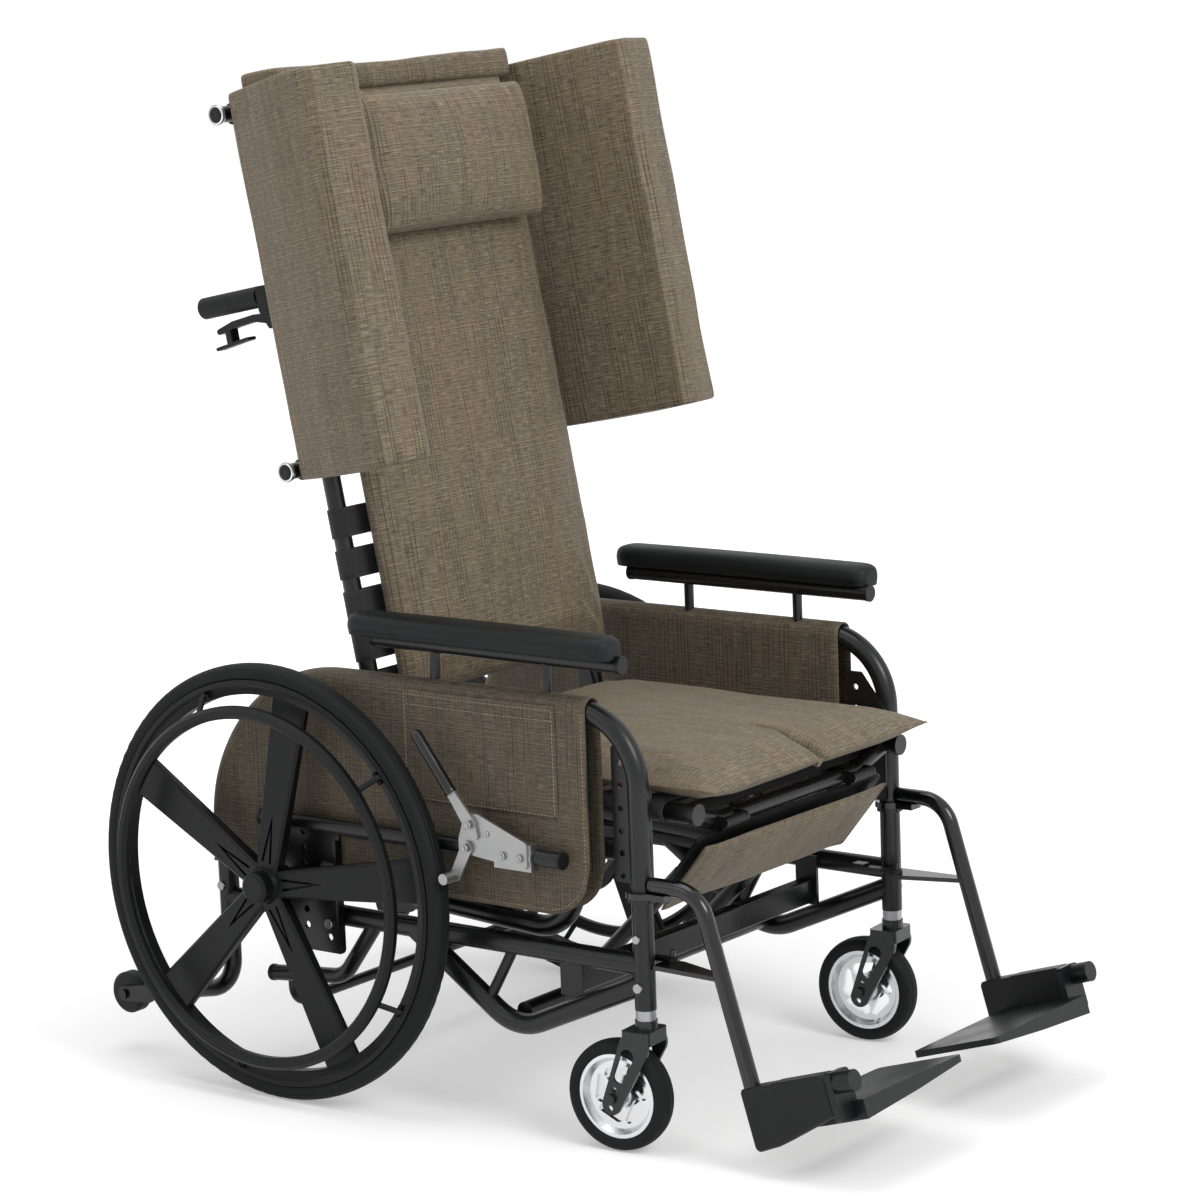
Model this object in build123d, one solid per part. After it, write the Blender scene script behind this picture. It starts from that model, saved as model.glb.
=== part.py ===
from build123d import *
import math
import os

# Tilt-in-space wheelchair. Millimetres, +Z up, the user faces -Y, the user's left is +X.
# All lengths are first set out from the rear axle (y = 0) and the ground (z = 0);
# the last step moves the whole chair so that the middle of its footprint is the origin.

# ---- clearances ----
WELD_GAP = 0.05        # between coped tubes of one welded frame
SEAT_GAP = 0.3         # between pieces that are laid or clipped on each other
RUN_FIT = 0.1          # radial, on pins, axles and swivels

# ---- tubes ----
TUBE_R = 14.3          # main frame tube, 28.6 outside
RAIL_R = 12.7          # seat rails and back tubes, 25.4 outside
CROSS_R = 11.0         # cross tubes, brake bars and footrest tubes
SIDE_X = 291.7         # centre plane of each side frame
BASE_X = 258.0         # centre plane of the seat base tubes
SEAT_X = 238.5         # seat rail centre
BACK_X = 238.0         # back tube centre

# ---- side frame ----
POST_Y = -585.0        # front post
POST_FOOT_Z = 195.0
POST_BORE_R = 12.3
RAIL_Z = 585.0         # arm rail centre
FRONT_BEND_R = 98.0
REAR_BEND_R = 230.0
REAR_LEG_Y = 142.0
REAR_LEG_FOOT_Z = 190.0
LOWER_RAIL_Z = 253.6
TRUSS_LOW = (-371.0, 157.0)
TRUSS_TOP_Y = -196.0
TRUSS_FRONT_Z = 215.0
TRUSS_BEND_R = 75.0
STRUT_R = 7.5
FOOT_COLLAR_R = 18.5
BASE_TUBE_R = 14.3
FRONT_BAR_Y = (-462.0, -442.0)
FRONT_BAR_Z = (192.0, 228.0)
LOW_CROSS_R = 12.7
REAR_CROSS_Z = 226.0
LUG_T = 4.0
TIP_LEVER_Z = (166.0, 154.0)
TIP_LEVER_Y = (-130.0, -66.0, 62.0)
STEP_BAR_R = 8.0
STEP_BAR_Z = (156.0, 108.0)
STEP_BAR_Y = 46.0
STEP_BEND_R = 24.0
FRAME_CAP_T = 5.0
FRAME_CAP_LIP = 0.8
BASE_FRONT = (-541.0, 392.0)
BASE_LOW = (-425.0, 271.0)
BASE_REAR = (110.0, 306.0)

# ---- hole strips and axle plates ----
STRIP_T = 4.0
STRIP_BACK_Y = -531.0
STRIP_HOLE_Y = -544.5
STRIP_Z = (356.0, 537.0)
STRIP_HOLE_R = 4.2
STRIP_PITCH = 30.0
STRIP_HOLES = 6
STRIP_FIRST_Z = 365.0
PLATE_T = 4.0
PLATE_X = 309.2
PLATE_Y = (-87.0, 37.0)
PLATE_LOW_Z = 204.0
PLATE_ABOVE_AXLE = 87.0
PLATE_HOLE_R = 5.0
PLATE_HOLES = 7
PLATE_PITCH = 22.0
PLATE_FLANGE = 9.0
AXLE_R = 6.35
SLEEVE_R = 13.0

# ---- rear wheels ----
WHEEL_R = 305.0
WHEEL_X = 354.0
TYRE_W = 31.0
TYRE_DEPTH = 20.5
RIM_W = 30.0
RIM_DEPTH = 21.0
HUB_R = 27.0
HUB_IN = -24.0
HUB_OUT = 27.0
SPOKES = 5
SPOKE_W_HUB = 46.0
SPOKE_W_RIM = 62.0
SPOKE_T_HUB = 22.0
SPOKE_T_RIM = 13.0
SPOKE_PHASE = 10.7
CAP_R = 22.0
CAP_OUT = 44.0
HANDRIM_R = WHEEL_R - 60.5
HANDRIM_TUBE_R = 9.5
HANDRIM_OUT = 41.0
CLIP_PHASE = 40.0

# ---- casters ----
CASTER_R = 75.0
CASTER_W = 34.0
CASTER_RIM_R = 57.0
CASTER_TRAIL = 42.0
CASTER_TURN = 5.6      # degrees, as they stand
FORK_T = 5.0
FORK_IN = 21.0         # half the gap between the ears
FORK_TOP_Z = 181.0
STEM_R = 6.0
STEM_TOP_Z = 250.0
COLLAR_R = 13.5
CASTER_AXLE_R = 4.0
CASTER_HUB_R = 12.0

# ---- anti-tip arms ----
TIP_WHEEL_R = 30.0
TIP_WHEEL_W = 24.0
TIP_AXLE = (345.0, 86.0)
TIP_ARM_R = 12.2
TIP_BOLT_R = 4.0

# ---- brake ----
BRAKE_X = 324.4
BRAKE_Z = 387.0
BRAKE_FRONT_Y = -486.0
BRAKE_REAR_Y = 38.0
BRAKE_BLOCK_Y = (-WHEEL_R - 135.0, -WHEEL_R - 73.0)
BRAKE_BLOCK_WALL = 3.5
BRAKE_PLATE_T = 4.0
BRAKE_LEVER_PIVOT = (-WHEEL_R - 40.0, BRAKE_Z + 37.0)
BRAKE_LEVER_BEND = (-WHEEL_R - 13.0, BRAKE_Z + 72.0)
BRAKE_LEVER_TIP = (-WHEEL_R + 43.0, BRAKE_Z + 146.0)
BRAKE_LEVER_T = 4.0
BRAKE_GRIP_R = 7.5
BRAKE_ARM_PIVOT = (-WHEEL_R - 33.0, BRAKE_Z + 5.0)
BRAKE_PIN = (-WHEEL_R - 12.0, BRAKE_Z - 35.0)
BRAKE_PIN_R = 7.5
BRAKE_PIVOT_R = 4.0

# ---- arms ----
ARM_X = 287.8
ARM_Z = 647.0
ARM_TUBE_R = 11.0
ARM_Y = (-559.0, -150.0)
ARM_POST_Y = (-439.2, -249.6)
ARM_POST_R = 7.0
PAD_Y = (-559.0, -122.0)
PAD_OFFSET = 12.0      # of the pad's middle outside the arm tube's
PAD_SINK = 3.0         # how far the arm tube goes into the pad's groove
PAD_W = 56.0
PAD_T = 34.0

# ---- side panels ----
PANEL_T = 2.2
PANEL_FRONT_Y = -514.0
PANEL_LOW_Z = 308.0
PANEL_CORNER_R = 70.0
POCKET_Y = (-466.0, -209.0)
POCKET_Z = (437.0, 588.0)
POCKET_T = 2.5

# ---- tilting seat ----
TILT_PIVOT = (-300.0, 400.0)
PIN_R = 6.0
RAIL_SEAT_Z = 448.5
RAIL_FRONT_Y = -633.0
RAIL_REAR_Y = -138.0
SEAT_CAP_R = 14.5
SEAT_BAR_Y = -612.0
SEAT_BAR_DROP = 26.0
STRAP_T = 2.0
STRAP_W = 40.0
SEAT_STRAP_Y = (-572.0, -508.0, -444.0, -350.0, -248.0)
CUSHION_X = 256.0
CUSHION_Y = (-681.0, -128.0)
CUSHION_T = 50.0
CUSHION_CROWN = 9.0

# ---- reclining back ----
BACK_HINGE = (-116.0, 450.0)
BACK_LEAN = 11.0       # degrees from upright
BACK_LENGTH = 945.0
BACK_STRAP_TOP = BACK_LENGTH - 60.0
BACK_STRAP_PITCH = 57.0
BACK_STRAP_FIRST = 118.0
WING_TUBE_AT = (428.0, BACK_LENGTH - 27.0)
WING_TUBE_END = 294.0
WING_CAP_R = 13.5
WING_CAP_T = 6.0
WING_TUBE_BEHIND = 24.0
HANDLE_AT = 670.0
HANDLE_LENGTH = 175.0
GRIP_R = 15.0
GRIP_LENGTH = 112.0
BACK_PAD_X = 226.0
BACK_PAD_AT = (92.0, BACK_LENGTH - 20.0)
BACK_PAD_T = 62.0
BACK_PAD_CROWN = 9.0
SLEEVE_X = 253.0
SLEEVE_OUT = (-21.0, 58.0)
SLEEVE_RISE = 22.0     # above the back tubes
SLEEVE_CORNER_R = 14.0
WING_AT = (413.0, BACK_LENGTH - 2.0)
WING_SECTION = (
    (255.0, -6.0),
    (292.0, -6.0),
    (372.0, 196.0),
    (366.0, 216.0),
    (300.0, 232.0),
    (284.0, 222.0),
    (255.0, 24.0),
)
WING_END = 16.0
WING_DRAW = 0.80       # of the section, at the sewn ends
WING_CLAMP_X = (256.0, 268.0)
PILLOW_X = 178.0
PILLOW_AT = (BACK_LENGTH - 229.0, BACK_LENGTH - 33.0)
PILLOW_T = 62.0

# ---- gas springs ----
SPRING_R = 11.0
SPRING_ROD_R = 5.0
SPRING_EYE_R = 9.0
SPRING_EYE_T = 10.0
SPRING_PIN_R = 4.0
OPEN_PIVOT_R = 9.5     # hole round the free pin of each opened linkage
TILT_SPRING_X = 120.0
TILT_SPRING_LOW = (-371.0, 182.0)
TILT_SPRING_TOP = (-594.0, 402.0)
RECLINE_SPRING_X = 208.0
RECLINE_SPRING_FRONT = (-400.0, 362.0)
RECLINE_LEVER = (10.0, -80.0)

# ---- calf rest ----
CALF_HINGE = (-634.0, 424.0)
CALF_TUCK = 39.0       # degrees behind straight down
CALF_X = 214.0
CALF_LENGTH = 140.0
CALF_BOARD_T = 6.0
CALF_PAD_T = 26.0

# ---- footrests ----
HANGER_Z = 362.0
HANGER_ANGLE = 17.0
HANGER_BEND_Y = -676.0
HANGER_BEND_R = 46.0
HANGER_RUN = 256.0
HANGER_BORE_R = 9.6
EXTENSION_R = 9.5
EXTENSION_INSIDE = 95.0
RING_Z = (345.0, 353.0)
RING_R = 21.0
LATCH_Z = (250.0, 256.0)
HINGE_FRONT = (-905.0, 149.0)
FOOT_X = 290.0
FOOT_BLOCK_T = 27.0
FOOT_PLATE_IN = 42.0
FOOT_PLATE_DEPTH = 137.0
FOOT_PLATE_DROP = 28.0
FOOT_THICK = 26.0
FOOT_THIN = 10.0

NODES = {}


def keep(name, *shapes):
    """Collects the solids of one sub-part."""
    solids = NODES.setdefault(name, [])
    for shape in shapes:
        solids.extend(shape.solids())


def flip(shape):
    """The same piece on the user's other side."""
    return mirror(shape, about=Plane.YZ)


def both(name, *shapes):
    keep(name, *shapes)
    keep(name, *[flip(shape) for shape in shapes])


def pair(name, *shapes):
    keep(name + "_left", *shapes)
    keep(name + "_right", *[flip(shape) for shape in shapes])


def rod(start, end, radius):
    axis = Vector(*end) - Vector(*start)
    plane = Plane(origin=start, z_dir=axis)
    low = (Align.CENTER, Align.CENTER, Align.MIN)
    return plane * Cylinder(radius, axis.length, align=low)


def cross_rod(x0, x1, y, z, radius):
    return rod((x0, y, z), (x1, y, z), radius)


def tube(points, bends, radius):
    path = FilletPolyline(*points, radius=bends)
    return sweep(Plane(origin=path @ 0, z_dir=path % 0) * Circle(radius), path=path)


def block(x, y, z):
    """A box from its limits along each axis."""
    size = (x[1] - x[0], y[1] - y[0], z[1] - z[0])
    middle = ((x[0] + x[1]) / 2, (y[0] + y[1]) / 2, (z[0] + z[1]) / 2)
    return Pos(*middle) * Box(*size)


def poly(*points):
    """A straight-sided face, wound so that it always faces up."""
    ends = [tuple(Vector(*point)) for point in points]
    turned = sum(a[0] * b[1] - b[0] * a[1] for a, b in zip(ends, ends[1:] + ends[:1]))
    if turned < 0:
        ends.reverse()
    return Polygon(*ends, align=None)


def sheet_yz(x0, x1, face):
    """Extrudes a face drawn in (y, z) from x0 to x1."""
    plane = Plane(origin=(x0, 0, 0), x_dir=(0, 1, 0), z_dir=(1, 0, 0))
    return extrude(plane * face, amount=x1 - x0)


def sheet_xy(z0, z1, face):
    return extrude(Plane.XY.offset(z0) * face, amount=z1 - z0)


def rounded(points, radius):
    return fillet(poly(*points).vertices(), radius)


def arm_face(start, end, r0, r1):
    """A flat link: two round ends joined by their common tangents."""
    a, b = Vector(*start), Vector(*end)
    along = b - a
    side = Vector(-along.Y, along.X).normalized()
    body = poly(a + side * r0, b + side * r1, b - side * r1, a - side * r0)
    return body + Pos(*start) * Circle(r0) + Pos(*end) * Circle(r1)


def spun(points, axis=Axis.X):
    """A solid turned about X from a section drawn in (x, radius)."""
    return revolve(Plane.XZ * poly(*points), axis)


# ======================================================== side frames
side_path = [
    (SIDE_X, POST_Y, POST_FOOT_Z),
    (SIDE_X, POST_Y, RAIL_Z),
    (SIDE_X, REAR_LEG_Y, RAIL_Z),
    (SIDE_X, REAR_LEG_Y, REAR_LEG_FOOT_Z),
]
side_tube = tube(side_path, [FRONT_BEND_R, REAR_BEND_R], TUBE_R)
side_tube -= rod((SIDE_X, POST_Y, POST_FOOT_Z - 1), (SIDE_X, POST_Y, 268), POST_BORE_R)
side_tube += rod(
    (SIDE_X, POST_Y, RING_Z[0] - SEAT_GAP - 6), (SIDE_X, POST_Y, RING_Z[0] - SEAT_GAP), FOOT_COLLAR_R
)
arm_socket_r = TIP_ARM_R + WELD_GAP
side_tube -= rod(
    (SIDE_X, REAR_LEG_Y, REAR_LEG_FOOT_Z - 1), (SIDE_X, REAR_LEG_Y, REAR_LEG_FOOT_Z + 50), arm_socket_r
)
both("side_frame_tubes", side_tube)

post_cut = rod((SIDE_X, POST_Y, 150), (SIDE_X, POST_Y, 330), TUBE_R + WELD_GAP)
leg_cut = rod((SIDE_X, REAR_LEG_Y, 180), (SIDE_X, REAR_LEG_Y, 330), TUBE_R + WELD_GAP)
lower_rail = rod((SIDE_X, POST_Y, LOWER_RAIL_Z), (SIDE_X, REAR_LEG_Y, LOWER_RAIL_Z), TUBE_R)
lower_rail = lower_rail - post_cut - leg_cut
rail_cut = rod((SIDE_X, POST_Y, LOWER_RAIL_Z), (SIDE_X, REAR_LEG_Y, LOWER_RAIL_Z), TUBE_R + WELD_GAP)
truss = tube(
    [
        (SIDE_X, POST_Y, TRUSS_FRONT_Z + 14),
        (SIDE_X, TRUSS_LOW[0], TRUSS_LOW[1] - 22),
        (SIDE_X, TRUSS_TOP_Y, LOWER_RAIL_Z),
    ],
    TRUSS_BEND_R,
    TUBE_R,
)
truss = (truss - post_cut - rail_cut).solids().sort_by(SortBy.VOLUME)[-1]
strut = rod((SIDE_X, -322, 168), (SIDE_X, -372, LOWER_RAIL_Z), STRUT_R)
strut = (strut - rail_cut - truss).solids().sort_by(Axis.Z)[-1]
both("lower_frame_tubes", lower_rail, truss, strut)

base_path = [
    (BASE_X, BASE_FRONT[0], BASE_FRONT[1]),
    (BASE_X, BASE_FRONT[0] + 56, BASE_FRONT[1] + 2),
    (BASE_X, BASE_LOW[0], BASE_LOW[1]),
    (BASE_X, BASE_REAR[0], BASE_REAR[1]),
]
base_tube = tube(base_path, [40, 62], BASE_TUBE_R)
both("seat_base_tubes", base_tube)

strip_face = rounded(
    [
        (POST_Y - 7, STRIP_Z[0]),
        (STRIP_BACK_Y, STRIP_Z[0]),
        (STRIP_BACK_Y, STRIP_Z[1]),
        (STRIP_BACK_Y - 22, STRIP_Z[1]),
        (POST_Y - 7, STRIP_Z[1] - 50),
    ],
    4,
)
for i in range(STRIP_HOLES):
    strip_face -= Pos(STRIP_HOLE_Y, STRIP_FIRST_Z + i * STRIP_PITCH) * Circle(STRIP_HOLE_R)
strip_x = SIDE_X - TUBE_R - STRIP_T - WELD_GAP
strip = sheet_yz(strip_x, strip_x + STRIP_T, strip_face)

plate_top = WHEEL_R + PLATE_ABOVE_AXLE
plate_holes_y = (PLATE_Y[0] + 25, PLATE_Y[1] - 21)
plate_face = rounded(
    [
        (PLATE_Y[0], PLATE_LOW_Z),
        (PLATE_Y[1], PLATE_LOW_Z),
        (PLATE_Y[1], plate_top),
        (PLATE_Y[0], plate_top),
    ],
    9,
)
window = RectangleRounded(30, 34, 8)
plate_face -= Pos(plate_holes_y[0], WHEEL_R + 11) * window
for i in range(PLATE_HOLES):
    z = WHEEL_R + (i - 3) * PLATE_PITCH
    plate_face -= Pos(-PLATE_PITCH, z) * Circle(PLATE_HOLE_R)
for y in plate_holes_y:
    plate_face -= Pos(y, PLATE_LOW_Z + PLATE_PITCH) * Circle(PLATE_HOLE_R)
axle_plate = sheet_yz(PLATE_X, PLATE_X + PLATE_T, plate_face)
flange = sheet_yz(
    PLATE_X + PLATE_T - 0.01,
    PLATE_X + PLATE_T + PLATE_FLANGE,
    Pos(PLATE_Y[0] + PLATE_T / 2, (PLATE_LOW_Z + plate_top) / 2 - 8)
    * Rectangle(PLATE_T, plate_top - PLATE_LOW_Z - 38),
)
axle_plate += flange
sleeve_end = WHEEL_X + HUB_IN - SEAT_GAP
axle_plate += cross_rod(SIDE_X - 6, sleeve_end, 0, WHEEL_R, SLEEVE_R)
axle_bore = cross_rod(SIDE_X - 20, sleeve_end + 5, 0, WHEEL_R, AXLE_R + WELD_GAP)
axle_plate -= axle_bore
axle_plate -= rod((SIDE_X, REAR_LEG_Y, 150), (SIDE_X, REAR_LEG_Y, 420), TUBE_R + 1)
spacer_x = (SIDE_X + TUBE_R - 1.0, PLATE_X)
spacer_z = LOWER_RAIL_Z - 8.6
for y in plate_holes_y:
    spacer = cross_rod(spacer_x[0], spacer_x[1] + 1, y, spacer_z, 8)
    axle_plate += spacer - rail_cut
both("frame_plates", strip, axle_plate)

axle = cross_rod(SIDE_X - 14, WHEEL_X + HUB_OUT + 4, 0, WHEEL_R, AXLE_R)
axle += cross_rod(SIDE_X - 15, SIDE_X - 6 - WELD_GAP, 0, WHEEL_R, 11)
axle += cross_rod(WHEEL_X + HUB_OUT + SEAT_GAP, WHEEL_X + HUB_OUT + 5, 0, WHEEL_R, 9)
both("frame_fittings", axle)

inner_x = SIDE_X - TUBE_R - WELD_GAP
low_cross = cross_rod(-inner_x, inner_x, TRUSS_LOW[0], TRUSS_LOW[1], LOW_CROSS_R)
for side in (-1, 1):
    for offset in (-1, 1):
        x = side * TILT_SPRING_X + offset * (SPRING_EYE_T + LUG_T + 1) / 2
        lug_face = arm_face(TRUSS_LOW, TILT_SPRING_LOW, LOW_CROSS_R - 1.7, SPRING_EYE_R - 0.5)
        lug = sheet_yz(x - LUG_T / 2, x + LUG_T / 2, lug_face)
        low_cross += lug
    x = side * TILT_SPRING_X
    low_cross += cross_rod(x - 12, x + 12, *TILT_SPRING_LOW, SPRING_PIN_R)
rear_cross = cross_rod(-inner_x, inner_x, REAR_LEG_Y, REAR_CROSS_Z, CROSS_R)
front_bar = block((-inner_x + 1, inner_x - 1), FRONT_BAR_Y, FRONT_BAR_Z)
front_bar = fillet(front_bar.edges().filter_by(Axis.X), 4)
bar_bracket_y = (FRONT_BAR_Y[0] - 8, FRONT_BAR_Y[1] + 8)
for x in (-inner_x, inner_x - 5):
    front_bar += block((x, x + 5), bar_bracket_y, (FRONT_BAR_Z[0] - 2, LOWER_RAIL_Z + 8))
keep("cross_tubes", low_cross, rear_cross, front_bar)

tip_lever = tube(
    [
        (SIDE_X, TIP_LEVER_Y[0], LOWER_RAIL_Z - 2),
        (SIDE_X, TIP_LEVER_Y[1], TIP_LEVER_Z[0]),
        (SIDE_X, TIP_LEVER_Y[2], TIP_LEVER_Z[1]),
    ],
    2 * STEP_BEND_R - 3,
    CROSS_R,
)
tip_lever = (tip_lever - rail_cut).solids().sort_by(SortBy.VOLUME)[-1]
step_x = SIDE_X - CROSS_R - STEP_BAR_R
step_bar = tube(
    [
        (step_x, STEP_BAR_Y, STEP_BAR_Z[0]),
        (step_x, STEP_BAR_Y, STEP_BAR_Z[1]),
        (-step_x, STEP_BAR_Y, STEP_BAR_Z[1]),
        (-step_x, STEP_BAR_Y, STEP_BAR_Z[0]),
    ],
    [STEP_BEND_R, STEP_BEND_R],
    STEP_BAR_R,
)
step_bar = (step_bar - tip_lever - flip(tip_lever)).solids().sort_by(SortBy.VOLUME)[-1]
both("tipping_bar", tip_lever)
keep("tipping_bar", step_bar)

brake_bar = rod((BRAKE_X, BRAKE_FRONT_Y + 7, BRAKE_Z), (BRAKE_X, BRAKE_REAR_Y, BRAKE_Z), CROSS_R)
both("brake_bars", brake_bar)



def end_cap(tube_end, outwards, radius):
    """A plastic cap over the open end of a tube."""
    along = Vector(*outwards).normalized()
    near = Vector(*tube_end) + along * WELD_GAP
    return rod(near, near + along * (FRAME_CAP_T - WELD_GAP), radius + FRAME_CAP_LIP)


tip_lever_run = (0, TIP_LEVER_Y[2] - TIP_LEVER_Y[1], TIP_LEVER_Z[1] - TIP_LEVER_Z[0])
caps = [
    end_cap((BRAKE_X, BRAKE_FRONT_Y + 7, BRAKE_Z), (0, -1, 0), CROSS_R),
    end_cap((BRAKE_X, BRAKE_REAR_Y, BRAKE_Z), (0, 1, 0), CROSS_R),
    end_cap((ARM_X, ARM_Y[0], ARM_Z), (0, -1, 0), ARM_TUBE_R),
    end_cap((ARM_X, ARM_Y[1], ARM_Z), (0, 1, 0), ARM_TUBE_R),
    end_cap((SIDE_X, TIP_LEVER_Y[2], TIP_LEVER_Z[1]), tip_lever_run, CROSS_R),
]
both("frame_end_caps", *caps)

# ======================================================== anti-tip arms
tip_arm = tube(
    [
        (SIDE_X, REAR_LEG_Y, REAR_LEG_FOOT_Z + 48),
        (SIDE_X, REAR_LEG_Y, 122),
        (SIDE_X, TIP_AXLE[0] - 38, 90),
    ],
    52,
    TIP_ARM_R,
)
for offset in (-1, 1):
    x = SIDE_X + offset * (TIP_WHEEL_W / 2 + 0.6 + 2)
    ear = sheet_yz(x - 2, x + 2, arm_face((TIP_AXLE[0] - 46, 92), TIP_AXLE, 13, 11))
    tip_arm += ear
tip_arm += cross_rod(SIDE_X - 16, SIDE_X + 16, TIP_AXLE[0] - 46, 92, 12)
tip_arm += cross_rod(SIDE_X - 20, SIDE_X + 20, *TIP_AXLE, TIP_BOLT_R)
tip_arm += cross_rod(SIDE_X + 16, SIDE_X + 21, *TIP_AXLE, 7)
tip_arm -= cross_rod(
    SIDE_X - TIP_WHEEL_W / 2 - 0.6, SIDE_X + TIP_WHEEL_W / 2 + 0.6, *TIP_AXLE, TIP_WHEEL_R + 1.5
) - cross_rod(SIDE_X - 30, SIDE_X + 30, *TIP_AXLE, TIP_BOLT_R)
both("anti_tip_arms", tip_arm)
half = TIP_WHEEL_W / 2
tip_wheel = spun(
    [
        (-half, TIP_BOLT_R + RUN_FIT),
        (half, TIP_BOLT_R + RUN_FIT),
        (half, TIP_WHEEL_R - 4),
        (half - 4, TIP_WHEEL_R),
        (4 - half, TIP_WHEEL_R),
        (-half, TIP_WHEEL_R - 4),
    ]
)
pair("anti_tip_wheel", Pos(SIDE_X, *TIP_AXLE) * tip_wheel)

# ======================================================== rear wheels
tyre_in = WHEEL_R - TYRE_DEPTH
w = TYRE_W / 2
tyre_section = [
    (-w + 2.0, tyre_in),
    (w - 2.0, tyre_in),
    (w, tyre_in + 8),
    (w - 3.5, WHEEL_R - 3.5),
    (5.0, WHEEL_R),
    (-5.0, WHEEL_R),
    (3.5 - w, WHEEL_R - 3.5),
    (-w, tyre_in + 8),
]
at_wheel = Pos(WHEEL_X, 0, WHEEL_R)
pair("rear_tyre", at_wheel * spun(tyre_section))

rim_out = tyre_in - 0.2
rim_in = rim_out - RIM_DEPTH
r = RIM_W / 2
rim = spun(
    [
        (-r, rim_out),
        (-r, rim_out - 7),
        (-r + 4, rim_out - 11),
        (-r + 7, rim_in),
        (r - 7, rim_in),
        (r - 4, rim_out - 11),
        (r, rim_out - 7),
        (r, rim_out),
    ]
)
hub = spun(
    [
        (HUB_IN, AXLE_R + RUN_FIT),
        (HUB_OUT, AXLE_R + RUN_FIT),
        (HUB_OUT, CAP_R + 2),
        (HUB_OUT - 8, HUB_R),
        (HUB_IN + 12, HUB_R),
        (HUB_IN, 19),
    ]
)


def blade_section(thick, wide):
    """A spoke's section: a flat blade with bevelled edges."""
    x, y, bevel = thick / 2, wide / 2, 3.5
    return poly(
        (x, y - bevel),
        (x - bevel, y),
        (bevel - x, y),
        (-x, y - bevel),
        (-x, bevel - y),
        (bevel - x, -y),
        (x - bevel, -y),
        (x, bevel - y),
    )


wheel = rim + hub
for i in range(SPOKES):
    near = Plane(origin=(10, 0, 17), x_dir=(1, 0, 0), z_dir=(0, 0, 1))
    far = Plane(origin=(0, 0, rim_in + 1.5), x_dir=(1, 0, 0), z_dir=(0, 0, 1))
    blade = loft(
        [
            near * blade_section(SPOKE_T_HUB, SPOKE_W_HUB - 10),
            far * blade_section(SPOKE_T_RIM, SPOKE_W_RIM),
        ],
        ruled=True,
    )
    lean = math.degrees(math.atan2((SPOKE_T_HUB - SPOKE_T_RIM) / 2 + 10, rim_in - 17))
    rib = Plane(origin=(22.4, 0, 24), x_dir=(0, 1, 0), z_dir=(1, 0, 0))
    groove = extrude(rib * poly((-9, 8), (0, 78), (9, 8), (5, 8), (0, 56), (-5, 8)), amount=-7)
    blade -= Rot(0, -lean, 0) * groove
    wheel += Rot(SPOKE_PHASE + i * 360 / SPOKES, 0, 0) * blade
wheel -= cross_rod(HUB_IN - 5, HUB_OUT + 20, 0, 0, AXLE_R + RUN_FIT)
hub_cap = spun(
    [
        (HUB_OUT + SEAT_GAP, CAP_R - 3),
        (HUB_OUT + SEAT_GAP, CAP_R),
        (CAP_OUT - 4, CAP_R),
        (CAP_OUT, CAP_R - 5),
        (CAP_OUT, 0),
        (CAP_OUT - 4, 0),
        (CAP_OUT - 4, CAP_R - 3),
    ]
)
pair("mag_wheel", at_wheel * wheel, at_wheel * hub_cap)

ring_section = Pos(HANDRIM_OUT, HANDRIM_R) * RegularPolygon(HANDRIM_TUBE_R, 8, rotation=22.5)
handrim = revolve(Plane.XZ * ring_section, Axis.X)
for i in range(SPOKES):
    clip = rod((r - 2, 0, rim_in + 11), (HANDRIM_OUT - 2, 0, HANDRIM_R), 4)
    foot = block((r - 4 + SEAT_GAP, r + 1.5), (-9, 9), (rim_in + 4, rim_in + 9.5))
    handrim += Rot(SPOKE_PHASE + CLIP_PHASE + i * 360 / SPOKES, 0, 0) * (clip + foot)
handrim -= rim
handrim = handrim.solids().sort_by(SortBy.VOLUME)[-1]
pair("handrim", at_wheel * handrim)

# ======================================================== casters
collar = rod((SIDE_X, POST_Y, FORK_TOP_Z + SEAT_GAP), (SIDE_X, POST_Y, POST_FOOT_Z - SEAT_GAP), COLLAR_R)
collar += rod((SIDE_X, POST_Y, POST_FOOT_Z - 2), (SIDE_X, POST_Y, POST_FOOT_Z + 30), POST_BORE_R - WELD_GAP)
collar -= rod((SIDE_X, POST_Y, FORK_TOP_Z - 1), (SIDE_X, POST_Y, POST_FOOT_Z + 31), STEM_R + RUN_FIT)
both("frame_fittings", collar)

ear_x = FORK_IN + FORK_T
crown_face = rounded([(-ear_x, -17), (ear_x, -17), (ear_x, 25), (-ear_x, 25)], 6)
crown = sheet_xy(FORK_TOP_Z - 30, FORK_TOP_Z - 12, crown_face)
crown += rod((0, 0, FORK_TOP_Z - 13), (0, 0, FORK_TOP_Z), 15)
ear_face = arm_face((6, FORK_TOP_Z - 34), (CASTER_TRAIL, CASTER_R - 8), 22, 14)
ear_face -= arm_face((16, FORK_TOP_Z - 46), (CASTER_TRAIL - 12, CASTER_R + 30), 10, 8)
for spare in ((CASTER_TRAIL - 4.7, CASTER_R + 13), (CASTER_TRAIL + 2, CASTER_R - 13)):
    ear_face -= Pos(*spare) * Circle(CASTER_AXLE_R)
ear_face -= Pos(CASTER_TRAIL, CASTER_R) * Circle(CASTER_AXLE_R + WELD_GAP)
fork = crown
fork += sheet_yz(FORK_IN, ear_x, ear_face)
fork += sheet_yz(-ear_x, -FORK_IN, ear_face)
fork -= cross_rod(-FORK_IN, FORK_IN, CASTER_TRAIL, CASTER_R, CASTER_R + 5)
fork += rod((0, 0, FORK_TOP_Z - 6), (0, 0, STEM_TOP_Z), STEM_R)
fork = fork.solids().sort_by(SortBy.VOLUME)[-1]
c = CASTER_W / 2
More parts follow.
